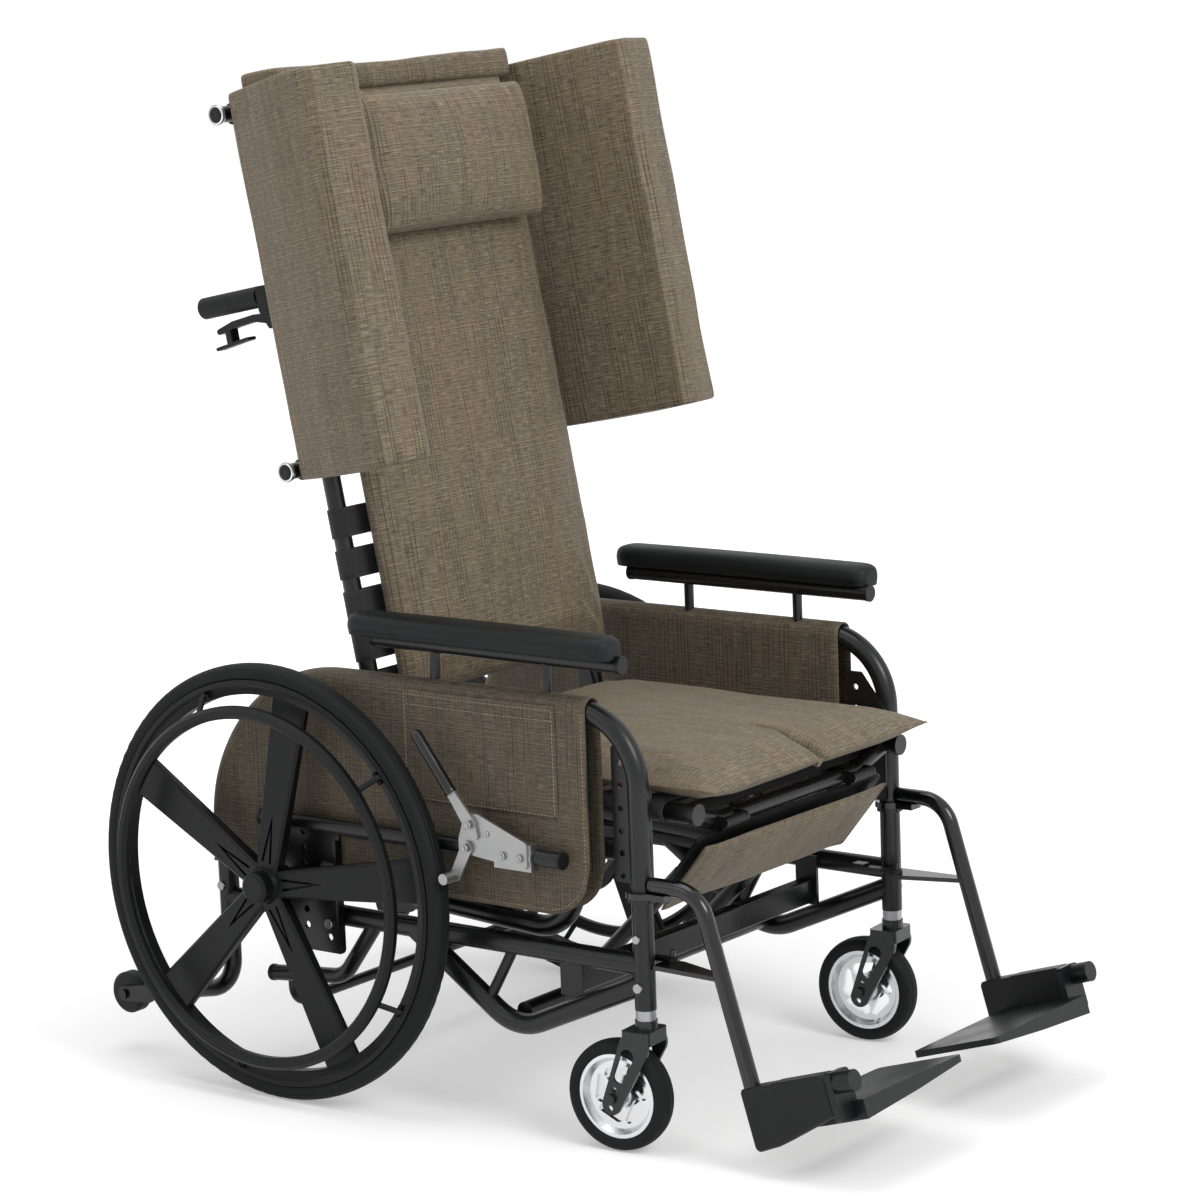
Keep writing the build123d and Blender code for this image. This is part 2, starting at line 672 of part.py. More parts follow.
caster_tyre = spun(
    [
        (-c + 3, CASTER_RIM_R + 0.2),
        (c - 3, CASTER_RIM_R + 0.2),
        (c, CASTER_RIM_R + 7),
        (c - 4, CASTER_R - 3),
        (5, CASTER_R),
        (-5, CASTER_R),
        (4 - c, CASTER_R - 3),
        (-c, CASTER_RIM_R + 7),
    ]
)
caster_rim = spun(
    [
        (-13, CASTER_RIM_R),
        (-13, CASTER_RIM_R - 5),
        (-3.5, CASTER_RIM_R - 11),
        (-3.5, CASTER_HUB_R + 5),
        (-FORK_IN + 1.5, CASTER_HUB_R),
        (-FORK_IN + 1.5, CASTER_AXLE_R + RUN_FIT),
        (FORK_IN - 1.5, CASTER_AXLE_R + RUN_FIT),
        (FORK_IN - 1.5, CASTER_HUB_R),
        (3.5, CASTER_HUB_R + 5),
        (3.5, CASTER_RIM_R - 11),
        (13, CASTER_RIM_R - 5),
        (13, CASTER_RIM_R),
    ]
)
for i in range(5):
    lobe = arm_face((14, 26), (-10, 34), 9, 5)
    hole = sheet_yz(-10, 10, lobe)
    caster_rim -= Rot(i * 72, 0, 0) * hole
caster_axle = cross_rod(-ear_x - 2, ear_x + 2, 0, 0, CASTER_AXLE_R)
caster_axle += cross_rod(-ear_x - 5, -ear_x - SEAT_GAP, 0, 0, 7)
caster_axle += cross_rod(ear_x + SEAT_GAP, ear_x + 5, 0, 0, 7)
for side, suffix in ((1, "_left"), (-1, "_right")):
    place = Pos(side * SIDE_X, POST_Y, 0) * Rot(0, 0, CASTER_TURN)
    hub_place = place * Pos(0, CASTER_TRAIL, CASTER_R)
    keep("caster_fork" + suffix, place * fork)
    keep("caster_fork" + suffix, hub_place * caster_axle)
    keep("caster_rim" + suffix, hub_place * caster_rim)
    keep("caster_tyre" + suffix, hub_place * caster_tyre)

# ======================================================== brakes
grip_r = CROSS_R + WELD_GAP
plate_in = BRAKE_X + CROSS_R + 1.6
clamp_face = Pos(BRAKE_X, BRAKE_Z) * Circle(CROSS_R + BRAKE_BLOCK_WALL)
clamp_face += Pos(BRAKE_X + 5, BRAKE_Z) * Rectangle(16, 2 * CROSS_R + 4 * BRAKE_BLOCK_WALL)
clamp_face -= Pos(BRAKE_X, BRAKE_Z) * Circle(grip_r)
clamp_plane = Plane(origin=(0, BRAKE_BLOCK_Y[1], 0), x_dir=(1, 0, 0), z_dir=(0, -1, 0))
clamp = extrude(clamp_plane * clamp_face, amount=BRAKE_BLOCK_Y[1] - BRAKE_BLOCK_Y[0])
side_face = rounded(
    [
        (BRAKE_BLOCK_Y[0] + 4, BRAKE_Z - 15),
        (BRAKE_ARM_PIVOT[0] + 16, BRAKE_Z - 3),
        (BRAKE_ARM_PIVOT[0] + 16, BRAKE_Z + 15),
        (BRAKE_LEVER_PIVOT[0] + 11, BRAKE_LEVER_PIVOT[1] + 14),
        (BRAKE_LEVER_PIVOT[0] - 11, BRAKE_LEVER_PIVOT[1] + 14),
        (BRAKE_BLOCK_Y[0] + 4, BRAKE_Z + 21),
    ],
    6,
)
brake_plate = sheet_yz(plate_in, plate_in + BRAKE_PLATE_T, side_face)
clamp += brake_plate
clamp += cross_rod(plate_in, plate_in + 12, *BRAKE_LEVER_PIVOT, BRAKE_PIVOT_R)
clamp += cross_rod(plate_in, plate_in + 12, *BRAKE_ARM_PIVOT, BRAKE_PIVOT_R)
for y in (BRAKE_BLOCK_Y[0] + 16, BRAKE_BLOCK_Y[1] - 18):
    clamp += cross_rod(plate_in + 3, plate_in + BRAKE_PLATE_T + 2, y, BRAKE_Z, 5)
both("brake_bases", clamp)

lever_in = plate_in + BRAKE_PLATE_T + SEAT_GAP
lever_out = lever_in + BRAKE_LEVER_T
lever_heel = (BRAKE_LEVER_PIVOT[0] - 7, BRAKE_LEVER_PIVOT[1] - 14)
lever_face = arm_face(BRAKE_LEVER_PIVOT, BRAKE_LEVER_BEND, 10, 7)
lever_face += arm_face(BRAKE_LEVER_BEND, BRAKE_LEVER_TIP, 7, 6)
lever_face += arm_face(BRAKE_LEVER_PIVOT, lever_heel, 9, 6)
lever_face -= Pos(*BRAKE_LEVER_PIVOT) * Circle(BRAKE_PIVOT_R + RUN_FIT)
lever = sheet_yz(lever_in, lever_out, lever_face)
grip_x = (lever_in + lever_out) / 2
grip_start = (grip_x, BRAKE_LEVER_BEND[0] + 9, BRAKE_LEVER_BEND[1] + 12)
grip_end = (grip_x, BRAKE_LEVER_TIP[0] + 2, BRAKE_LEVER_TIP[1] + 2)
lever += rod(grip_start, grip_end, BRAKE_GRIP_R)
lever += Pos(*grip_end) * Sphere(BRAKE_GRIP_R)
pair("brake_lever", lever)

brake_arm_face = arm_face(BRAKE_ARM_PIVOT, BRAKE_PIN, 9, 8)
brake_arm_face -= Pos(*BRAKE_ARM_PIVOT) * Circle(BRAKE_PIVOT_R + RUN_FIT)
brake_arm = sheet_yz(lever_in, lever_out, brake_arm_face)
brake_arm += cross_rod(lever_in + 1, WHEEL_X + 17, *BRAKE_PIN, BRAKE_PIN_R)
pair("brake_arm", brake_arm)

# ======================================================== arms
arm_tube = rod((ARM_X, ARM_Y[0], ARM_Z), (ARM_X, ARM_Y[1], ARM_Z), ARM_TUBE_R)
for y in ARM_POST_Y:
    arm_tube += rod((ARM_X, y, RAIL_Z), (ARM_X, y, ARM_Z), ARM_POST_R)
arm_tube -= rod((SIDE_X, POST_Y, RAIL_Z), (SIDE_X, REAR_LEG_Y, RAIL_Z), TUBE_R + WELD_GAP)
arm_tube = arm_tube.solids().sort_by(SortBy.VOLUME)[-1]
both("arm_tubes", arm_tube)

pad_low = ARM_Z + ARM_TUBE_R - PAD_SINK
pad_shape = Pos(0, (PAD_Y[0] + PAD_Y[1]) / 2) * RectangleRounded(PAD_W, PAD_Y[1] - PAD_Y[0], 24)
arm_pad = extrude(Plane.XY.offset(pad_low) * pad_shape, amount=PAD_T)
arm_pad = fillet(arm_pad.faces().sort_by(Axis.Z)[-1].edges(), 13)
arm_pad = Pos(ARM_X + PAD_OFFSET, 0, 0) * arm_pad
arm_pad -= rod((ARM_X, ARM_Y[0] - 30, ARM_Z), (ARM_X, ARM_Y[1] + 60, ARM_Z), ARM_TUBE_R + 1.0)
both("arm_pads", arm_pad)

# ======================================================== side panels


def panel_outline(inset, low):
    """The panel's outline in (y, z): it follows the arm rail and the rear bend."""
    reach = TUBE_R + SEAT_GAP + PANEL_T - inset
    top = RAIL_Z + reach
    back = REAR_LEG_Y + reach
    centre = (REAR_LEG_Y - REAR_BEND_R, RAIL_Z - REAR_BEND_R)
    radius = REAR_BEND_R + reach
    diagonal = radius * math.sqrt(0.5)
    lines = Line((PANEL_FRONT_Y, low), (PANEL_FRONT_Y, top))
    lines += Line((PANEL_FRONT_Y, top), (centre[0], top))
    lines += ThreePointArc(
        (centre[0], top), (centre[0] + diagonal, centre[1] + diagonal), (back, centre[1])
    )
    lines += Line((back, centre[1]), (back, low))
    lines += Line((back, low), (PANEL_FRONT_Y, low))
    return make_face(lines)


panel_in = SIDE_X - TUBE_R - SEAT_GAP - PANEL_T
panel_out = SIDE_X + TUBE_R + SEAT_GAP + PANEL_T
panel = sheet_yz(panel_in, panel_out, panel_outline(0, PANEL_LOW_Z))
panel -= sheet_yz(panel_in + PANEL_T, panel_out - PANEL_T, panel_outline(PANEL_T, PANEL_LOW_Z - 50))
panel -= block((panel_in + PANEL_T, panel_out - PANEL_T), (PANEL_FRONT_Y - 1, 0), (300, RAIL_Z - 20))
corner = Rectangle(2 * PANEL_CORNER_R, 2 * PANEL_CORNER_R) - Pos(PANEL_CORNER_R, PANEL_CORNER_R) * Circle(
    PANEL_CORNER_R
)
corner &= Pos(PANEL_CORNER_R / 2, PANEL_CORNER_R / 2) * Rectangle(PANEL_CORNER_R, PANEL_CORNER_R)
panel -= sheet_yz(panel_in - 1, panel_out + 1, Pos(PANEL_FRONT_Y, PANEL_LOW_Z) * corner)
panel -= block((strip_x - 1, strip_x + STRIP_T + 1), (POST_Y, STRIP_BACK_Y + 1), (300, 620))
panel -= block((panel_in - 1, SIDE_X), (POST_Y, STRIP_BACK_Y + 1), (300, RAIL_Z + 8))
sleeve_room = SLEEVE_R + 3
sleeve_notch = (WHEEL_R - sleeve_room, WHEEL_R + sleeve_room)
panel -= block((PLATE_X - 40, PLATE_X - 0.3), (-sleeve_room, sleeve_room), sleeve_notch)
for y in ARM_POST_Y:
    panel -= rod((ARM_X, y, RAIL_Z), (ARM_X, y, ARM_Z), ARM_POST_R + SEAT_GAP)
panel = panel.solids().sort_by(SortBy.VOLUME)[-1]
pocket_face = rounded(
    [
        (POCKET_Y[0], POCKET_Z[0]),
        (POCKET_Y[1] - 22, POCKET_Z[0]),
        (POCKET_Y[1], POCKET_Z[0] + 10),
        (POCKET_Y[1], POCKET_Z[1]),
        (POCKET_Y[0], POCKET_Z[1]),
    ],
    6,
)
pocket = sheet_yz(panel_out - 0.01, panel_out + POCKET_T, pocket_face)
panel += pocket - block((0, 400), (BRAKE_BLOCK_Y[0] - 8, 0), (0, BRAKE_Z + 30))
both("side_panels", panel)

# ======================================================== tilt brackets on the base
base_plate_x = BASE_X - 3
base_slope = (BASE_REAR[1] - BASE_LOW[1]) / (BASE_REAR[0] - BASE_LOW[0])
base_top = BASE_LOW[1] + base_slope * (TILT_PIVOT[0] - BASE_LOW[0])
bracket_face = rounded(
    [
        (TILT_PIVOT[0] - 42, base_top),
        (TILT_PIVOT[0] + 42, base_top),
        (TILT_PIVOT[0] + 17, TILT_PIVOT[1] + 15),
        (TILT_PIVOT[0] - 17, TILT_PIVOT[1] + 15),
    ],
    6,
)
bracket = sheet_yz(base_plate_x, base_plate_x + 6, bracket_face)
bracket -= rod(base_path[2], base_path[3], BASE_TUBE_R + WELD_GAP)
bracket = bracket.solids().sort_by(SortBy.VOLUME)[-1]
seat_plate_x = SEAT_X + 1.5
bracket += cross_rod(seat_plate_x - 5, base_plate_x + 9, *TILT_PIVOT, PIN_R)
bracket += cross_rod(seat_plate_x + 6 + SEAT_GAP, base_plate_x, *TILT_PIVOT, PIN_R + 4)
bracket += cross_rod(seat_plate_x - 5, seat_plate_x - SEAT_GAP, *TILT_PIVOT, PIN_R + 3)
both("frame_plates", bracket)

# ======================================================== seat frame
seat_rail = rod((SEAT_X, RAIL_FRONT_Y, RAIL_SEAT_Z), (SEAT_X, RAIL_REAR_Y, RAIL_SEAT_Z), RAIL_R)
rails_cut = rod((SEAT_X, RAIL_FRONT_Y, RAIL_SEAT_Z), (SEAT_X, RAIL_REAR_Y, RAIL_SEAT_Z), RAIL_R + WELD_GAP)
seat_bar = tube(
    [
        (-SEAT_X, SEAT_BAR_Y, RAIL_SEAT_Z - 2),
        (-SEAT_X + 78, SEAT_BAR_Y, RAIL_SEAT_Z - SEAT_BAR_DROP),
        (SEAT_X - 78, SEAT_BAR_Y, RAIL_SEAT_Z - SEAT_BAR_DROP),
        (SEAT_X, SEAT_BAR_Y, RAIL_SEAT_Z - 2),
    ],
    [60, 60],
    CROSS_R,
)
seat_bar = (seat_bar - rails_cut - flip(rails_cut)).solids().sort_by(SortBy.VOLUME)[-1]
bar_low = (SEAT_BAR_Y, RAIL_SEAT_Z - SEAT_BAR_DROP)
for side in (-1, 1):
    for offset in (-1, 1):
        x = side * TILT_SPRING_X + offset * (SPRING_EYE_T / 2 + 0.8 + 2)
        face = arm_face(bar_low, TILT_SPRING_TOP, 10, OPEN_PIVOT_R + 3)
        face -= Pos(*TILT_SPRING_TOP) * Circle(OPEN_PIVOT_R)
        seat_bar += sheet_yz(x - 2, x + 2, face)
rear_bar = cross_rod(-SEAT_X + RAIL_R * 0.5, SEAT_X - RAIL_R * 0.5, -165, RAIL_SEAT_Z - 10, CROSS_R)
rear_bar = rear_bar - rails_cut - flip(rails_cut)
rear_bar = rear_bar.solids().sort_by(SortBy.VOLUME)[-1]
both("seat_frame_tubes", seat_rail)
keep("seat_frame_tubes", seat_bar, rear_bar)

seat_plate_face = rounded(
    [
        (TILT_PIVOT[0] - 18, RAIL_SEAT_Z - 4),
        (TILT_PIVOT[0] - 16, TILT_PIVOT[1] - 15),
        (TILT_PIVOT[0] + 16, TILT_PIVOT[1] - 15),
        (TILT_PIVOT[0] + 18, RAIL_SEAT_Z - 4),
    ],
    6,
)
seat_plate_face -= Pos(*TILT_PIVOT) * Circle(PIN_R + RUN_FIT)
seat_plate = sheet_yz(seat_plate_x, seat_plate_x + 6, seat_plate_face) - rails_cut
seat_plate = seat_plate.solids().sort_by(SortBy.VOLUME)[-1]
hinge_x = SEAT_X + RAIL_R
hinge_face = arm_face((BACK_HINGE[0] - 58, RAIL_SEAT_Z), BACK_HINGE, 13, 17)
hinge_plate = sheet_yz(hinge_x + WELD_GAP, hinge_x + 4, hinge_face)
pin_in = BACK_X - RAIL_R - 5
hinge_plate += cross_rod(pin_in - 3, hinge_x + 6, *BACK_HINGE, PIN_R)
spring_plate_x = (SEAT_X - RAIL_R - 5, SEAT_X - RAIL_R - WELD_GAP)
front_plate_face = rounded(
    [
        (RECLINE_SPRING_FRONT[0] - 18, RAIL_SEAT_Z + 4),
        (RECLINE_SPRING_FRONT[0] - 13, RECLINE_SPRING_FRONT[1] - 13),
        (RECLINE_SPRING_FRONT[0] + 13, RECLINE_SPRING_FRONT[1] - 13),
        (RECLINE_SPRING_FRONT[0] + 18, RAIL_SEAT_Z + 4),
    ],
    5,
)
spring_plate = sheet_yz(*spring_plate_x, front_plate_face)
spring_plate += cross_rod(RECLINE_SPRING_X - 7, spring_plate_x[1], *RECLINE_SPRING_FRONT, SPRING_PIN_R)
both("seat_plates", seat_plate, hinge_plate, spring_plate)

cap_front = RAIL_FRONT_Y - 8
seat_cap = rod((SEAT_X, cap_front, RAIL_SEAT_Z), (SEAT_X, RAIL_FRONT_Y - WELD_GAP, RAIL_SEAT_Z), SEAT_CAP_R)
both("seat_frame_tubes", seat_cap)


def strap_loop(centre_x, radius, width):
    """A webbing loop round two parallel tubes, with its tail folded back below one side."""
    inner = SlotCenterToCenter(2 * centre_x, 2 * (radius + SEAT_GAP / 2))
    outer = SlotCenterToCenter(2 * centre_x, 2 * (radius + SEAT_GAP / 2 + STRAP_T))
    tail = Pos(centre_x - 60, -(radius + SEAT_GAP / 2 + 1.5 * STRAP_T - 0.01)) * Rectangle(90, STRAP_T)
    return extrude(outer - inner + tail, amount=width / 2, both=True)


for y in SEAT_STRAP_Y:
    flat = Plane(origin=(0, y, RAIL_SEAT_Z), x_dir=(1, 0, 0), z_dir=(0, -1, 0))
    keep("seat_straps", flat * strap_loop(SEAT_X, RAIL_R, STRAP_W))

strap_top = RAIL_SEAT_Z + RAIL_R + SEAT_GAP / 2 + STRAP_T
cushion_low = strap_top + SEAT_GAP
cushion_depth = CUSHION_Y[1] - CUSHION_Y[0]


def cushion_slice(y, half_width, low, high, crown):
    """A cushion's cross-section: flat below, drawn-in sides, crowned top."""
    side = (high - low) / 2
    lines = Line((-half_width + 10, low), (half_width - 10, low))
    lines += Line((half_width - 10, low), (half_width, low + side))
    lines += Line((half_width, low + side), (half_width - 12, high))
    lines += ThreePointArc((half_width - 12, high), (0, high + crown), (12 - half_width, high))
    lines += Line((12 - half_width, high), (-half_width, low + side))
    lines += Line((-half_width, low + side), (10 - half_width, low))
    plane = Plane(origin=(0, y, 0), x_dir=(1, 0, 0), z_dir=(0, -1, 0))
    return plane * make_face(lines)


cushion_cuts = [
    (CUSHION_Y[0], CUSHION_X - 16, cushion_low + 8, cushion_low + 22, 3),
    (CUSHION_Y[0] + 26, CUSHION_X - 4, cushion_low + 1, cushion_low + CUSHION_T - 12, CUSHION_CROWN - 3),
    (CUSHION_Y[0] + 90, CUSHION_X, cushion_low, cushion_low + CUSHION_T - 3, CUSHION_CROWN),
    (CUSHION_Y[1] - 60, CUSHION_X, cushion_low, cushion_low + CUSHION_T - 3, CUSHION_CROWN),
    (CUSHION_Y[1], CUSHION_X - 8, cushion_low + 2, cushion_low + CUSHION_T - 14, CUSHION_CROWN - 4),
]
cushion = loft([cushion_slice(*cut) for cut in reversed(cushion_cuts)], ruled=True)
keep("seat_cushion", cushion)

# ======================================================== back, in its own frame
# back frame: X across, "at" measured up the back tubes from the hinge, "out" forward of them
back_frame = Plane(
    origin=(0, BACK_HINGE[0], BACK_HINGE[1]),
    x_dir=(1, 0, 0),
    z_dir=(0, math.sin(math.radians(BACK_LEAN)), math.cos(math.radians(BACK_LEAN))),
)
# in this frame local y runs rearwards, so a piece that is "out" forward has local y = -out

back_tube = rod((BACK_X, 0, -15), (BACK_X, 0, BACK_LENGTH), RAIL_R)
back_tube -= cross_rod(BACK_X - 20, BACK_X + 20, 0, 0, PIN_R + RUN_FIT)
back_tube = back_frame * back_tube
lever_end = (BACK_HINGE[0] + RECLINE_LEVER[0], BACK_HINGE[1] + RECLINE_LEVER[1])
back_lever_x = (BACK_X - RAIL_R - 5, BACK_X - RAIL_R - WELD_GAP)
back_lever_face = arm_face(BACK_HINGE, lever_end, 16, OPEN_PIVOT_R + 4)
up_end = back_frame.from_local_coords(Vector(0, 0, 62))
back_lever_face += arm_face(BACK_HINGE, (up_end.Y, up_end.Z), 16, 10)
back_lever_face -= Pos(*lever_end) * Circle(OPEN_PIVOT_R)
back_lever_face -= Pos(*BACK_HINGE) * Circle(PIN_R + RUN_FIT)
back_lever = sheet_yz(*back_lever_x, back_lever_face)
both("back_tubes", back_tube)
both("back_tubes", back_lever)

for at in WING_TUBE_AT:
    bar = cross_rod(-WING_TUBE_END, WING_TUBE_END, WING_TUBE_BEHIND, at, CROSS_R)
    keep("back_cross_tubes", back_frame * bar)
    cap_x = (WING_TUBE_END + WELD_GAP, WING_TUBE_END + WING_CAP_T)
    both("back_cross_tubes", back_frame * cross_rod(*cap_x, WING_TUBE_BEHIND, at, WING_CAP_R))
top_bar = cross_rod(-BACK_X + RAIL_R + WELD_GAP, BACK_X - RAIL_R - WELD_GAP, 0, BACK_LENGTH - 22, CROSS_R)
keep("back_cross_tubes", back_frame * top_bar)
tube_cap = rod((BACK_X, 0, BACK_LENGTH + WELD_GAP), (BACK_X, 0, BACK_LENGTH + 4), RAIL_R + 0.8)
both("back_cross_tubes", back_frame * tube_cap)

strap_reach = RAIL_R + SEAT_GAP / 2 + STRAP_T
back_straps = int((BACK_STRAP_TOP - BACK_STRAP_FIRST) / BACK_STRAP_PITCH) + 1
for i in range(back_straps):
    at = BACK_STRAP_FIRST + i * BACK_STRAP_PITCH
    if abs(at - HANDLE_AT) < 32 or any(abs(at - w_at) < 30 for w_at in WING_TUBE_AT):
        continue
    flat = Plane(origin=(0, 0, at), x_dir=(1, 0, 0), z_dir=(0, 0, 1))
    loop = flat * strap_loop(BACK_X, RAIL_R, STRAP_W)
    keep("back_straps", back_frame * Rot(0, 0, 180) * loop)

handle = rod((BACK_X, RAIL_R - 2, HANDLE_AT), (BACK_X, HANDLE_LENGTH - 6, HANDLE_AT), CROSS_R)
handle -= rod((BACK_X, 0, 0), (BACK_X, 0, BACK_LENGTH), RAIL_R + WELD_GAP)
handle = handle.solids().sort_by(SortBy.VOLUME)[-1]
both("back_tubes", back_frame * handle)
grip = rod((BACK_X, HANDLE_LENGTH - GRIP_LENGTH, HANDLE_AT), (BACK_X, HANDLE_LENGTH, HANDLE_AT), GRIP_R)
grip = chamfer(grip.faces().sort_by(Axis.Y)[-1].edges(), 4)
grip -= rod((BACK_X, 0, HANDLE_AT), (BACK_X, HANDLE_LENGTH - 6, HANDLE_AT), CROSS_R + WELD_GAP)
trigger_pivot = (42.0, HANDLE_AT - 34.0)
block_face = rounded(
    [
        (RAIL_R + 6, HANDLE_AT + 14),
        (HANDLE_LENGTH - GRIP_LENGTH - 4, HANDLE_AT + 14),
        (HANDLE_LENGTH - GRIP_LENGTH - 4, HANDLE_AT - 20),
        (46, HANDLE_AT - 46),
        (RAIL_R + 6, HANDLE_AT - 46),
    ],
    4,
)
housing = sheet_yz(BACK_X - 15, BACK_X + 15, block_face)
housing -= rod((BACK_X, 0, HANDLE_AT), (BACK_X, HANDLE_LENGTH, HANDLE_AT), CROSS_R + WELD_GAP)
housing -= block((BACK_X - 8.5, BACK_X + 8.5), (30, 90), (HANDLE_AT - 60, HANDLE_AT - 18))
housing += cross_rod(BACK_X - 13, BACK_X + 13, *trigger_pivot, 3)
both("push_grips", back_frame * grip, back_frame * housing)

trigger_face = arm_face(trigger_pivot, (78, HANDLE_AT - 27), 7, 5)
trigger_face += arm_face((78, HANDLE_AT - 27), (118, HANDLE_AT - 30), 5, 5)
trigger_face += arm_face((118, HANDLE_AT - 30), (146, HANDLE_AT - 36), 5, 4)
trigger_face += arm_face((130, HANDLE_AT - 34), (130, HANDLE_AT - 54), 5, 5)
trigger_face += arm_face((97, HANDLE_AT - 53), (155, HANDLE_AT - 59), 2.5, 2.5)
trigger_face -= Pos(*trigger_pivot) * Circle(3 + RUN_FIT)
trigger = sheet_yz(BACK_X - 8, BACK_X + 8, trigger_face)
pair("trigger", back_frame * trigger)


def pad_slice(at, half_width, low, high, crown):
    """A back pad's section at one height; low and high are forward of the tubes."""
    lines = Line((-half_width + 8, -low), (half_width - 8, -low))
    lines += Line((half_width - 8, -low), (half_width, -(low + high) / 2))
    lines += Line((half_width, -(low + high) / 2), (half_width - 14, -high))
    lines += ThreePointArc((half_width - 14, -high), (0, -high - crown), (14 - half_width, -high))
    lines += Line((14 - half_width, -high), (-half_width, -(low + high) / 2))
    lines += Line((-half_width, -(low + high) / 2), (8 - half_width, -low))
    return Plane.XY.offset(at) * make_face(lines)


pad_back = strap_reach + SEAT_GAP
pad_front = pad_back + BACK_PAD_T
pad_cuts = [
    (BACK_PAD_AT[0], BACK_PAD_X - 12, pad_back + 8, pad_front - 24, 2),
    (BACK_PAD_AT[0] + 28, BACK_PAD_X, pad_back, pad_front, BACK_PAD_CROWN),
    (BACK_PAD_AT[1] - 20, BACK_PAD_X, pad_back, pad_front, BACK_PAD_CROWN),
    (BACK_PAD_AT[1], BACK_PAD_X - 10, pad_back + 4, pad_front - 20, 3),
]
back_pad = loft([pad_slice(*cut) for cut in pad_cuts], ruled=True)
keep("back_pad", back_frame * back_pad)

sleeve_low = BACK_PAD_AT[1] + SEAT_GAP
sleeve_across = (-SLEEVE_X, SLEEVE_X)
sleeve_deep = (-SLEEVE_OUT[1], -SLEEVE_OUT[0])
sleeve = block(sleeve_across, sleeve_deep, (sleeve_low, BACK_LENGTH + SLEEVE_RISE))
sleeve = fillet(sleeve.edges().filter_by(Axis.X), SLEEVE_CORNER_R)
sleeve -= rod((BACK_X, 0, 0), (BACK_X, 0, BACK_LENGTH + 6), RAIL_R + 1)
sleeve -= rod((-BACK_X, 0, 0), (-BACK_X, 0, BACK_LENGTH + 6), RAIL_R + 1)
sleeve -= cross_rod(-BACK_X, BACK_X, 0, BACK_LENGTH - 22, CROSS_R + SEAT_GAP)
sleeve = sleeve.solids().sort_by(SortBy.VOLUME)[-1]
keep("back_pad", back_frame * sleeve)

pillow_back = pad_front + BACK_PAD_CROWN + SEAT_GAP
pillow_cuts = [
    (PILLOW_AT[0], PILLOW_X - 8, pillow_back + 3, pillow_back + PILLOW_T - 26, 2),
    (PILLOW_AT[0] + 28, PILLOW_X, pillow_back, pillow_back + PILLOW_T - 6, 5),
    (PILLOW_AT[1] - 28, PILLOW_X, pillow_back, pillow_back + PILLOW_T - 6, 5),
    (PILLOW_AT[1], PILLOW_X - 8, pillow_back + 3, pillow_back + PILLOW_T - 26, 2),
]
pillow = loft([pad_slice(*cut) for cut in pillow_cuts], ruled=True)
keep("head_pillow", back_frame * pillow)


def wing_slice(at, draw):
    """The wing's section, thick at the front; draw pulls the ends in."""
    count = len(WING_SECTION)
    middle = (sum(p[0] for p in WING_SECTION) / count, sum(p[1] for p in WING_SECTION) / count)
    points = []
    for x, out in WING_SECTION:
        points.append((middle[0] + (x - middle[0]) * draw, -(middle[1] + (out - middle[1]) * draw)))
    return Plane.XY.offset(at) * poly(*points)


wing = loft(
    [
        wing_slice(WING_AT[0], WING_DRAW),
        wing_slice(WING_AT[0] + WING_END, 1.0),
        wing_slice(WING_AT[1] - WING_END, 1.0),
        wing_slice(WING_AT[1], WING_DRAW),
    ],
    ruled=True,
)
for at in WING_TUBE_AT:
    clamp_ring = cross_rod(*WING_CLAMP_X, WING_TUBE_BEHIND, at, CROSS_R + 4)
    clamp_neck = (WING_CLAMP_X[0] + 4, WING_CLAMP_X[1] - 4)
    clamp_ring += block(clamp_neck, (-4, WING_TUBE_BEHIND), (at - 10, at + 10))
    tube_room = (WING_CLAMP_X[0] - 8, WING_CLAMP_X[1] + 8)
    clamp_ring -= cross_rod(*tube_room, WING_TUBE_BEHIND, at, CROSS_R + RUN_FIT)
    wing += clamp_ring
pair("wing", back_frame * wing)

# ======================================================== gas springs


def spring_pair(prefix, centre_x, start, end, case_length, rod_length, pin_out):
    """A cylinder hinged at start and a rod that ends in an eye at end, on each side."""
    a = Vector(0, start[0], start[1])
    b = Vector(0, end[0], end[1])
    along = (b - a).normalized()
    length = (b - a).length
    case_start = a + along * (SPRING_EYE_R - 2)
    case = rod(case_start, (case_start + along * case_length), SPRING_R)
    bore_start = case_start + along * 22
    case -= rod(bore_start, (case_start + along * (case_length + 1)), SPRING_ROD_R + RUN_FIT)
    case += cross_rod(-SPRING_EYE_T / 2, SPRING_EYE_T / 2, start[0], start[1], SPRING_EYE_R)
    case -= cross_rod(-SPRING_R - 1, SPRING_R + 1, start[0], start[1], SPRING_PIN_R + RUN_FIT)
    for offset in (-1, 1):
        limits = sorted((offset * SPRING_EYE_T / 2, offset * (SPRING_R + 2)))
        case -= cross_rod(limits[0], limits[1], start[0], start[1], SPRING_EYE_R + 3)
    rod_start = b - along * rod_length
    piston = rod(rod_start, b, SPRING_ROD_R)
    piston += cross_rod(-SPRING_EYE_T / 2, SPRING_EYE_T / 2, end[0], end[1], SPRING_EYE_R)
    piston += cross_rod(-SPRING_EYE_T / 2, pin_out, end[0], end[1], SPRING_PIN_R)
    both(prefix + "_cylinders", Pos(centre_x, 0, 0) * case)
    both(prefix + "_rods", Pos(centre_x, 0, 0) * piston)
    return length


spring_pair("tilt", TILT_SPRING_X, TILT_SPRING_LOW, TILT_SPRING_TOP, 205, 245, SPRING_EYE_T / 2 + 7)
recline_pin = BACK_X - RAIL_R - RECLINE_SPRING_X
spring_pair("recline", RECLINE_SPRING_X, RECLINE_SPRING_FRONT, lever_end, 165, 160, recline_pin)

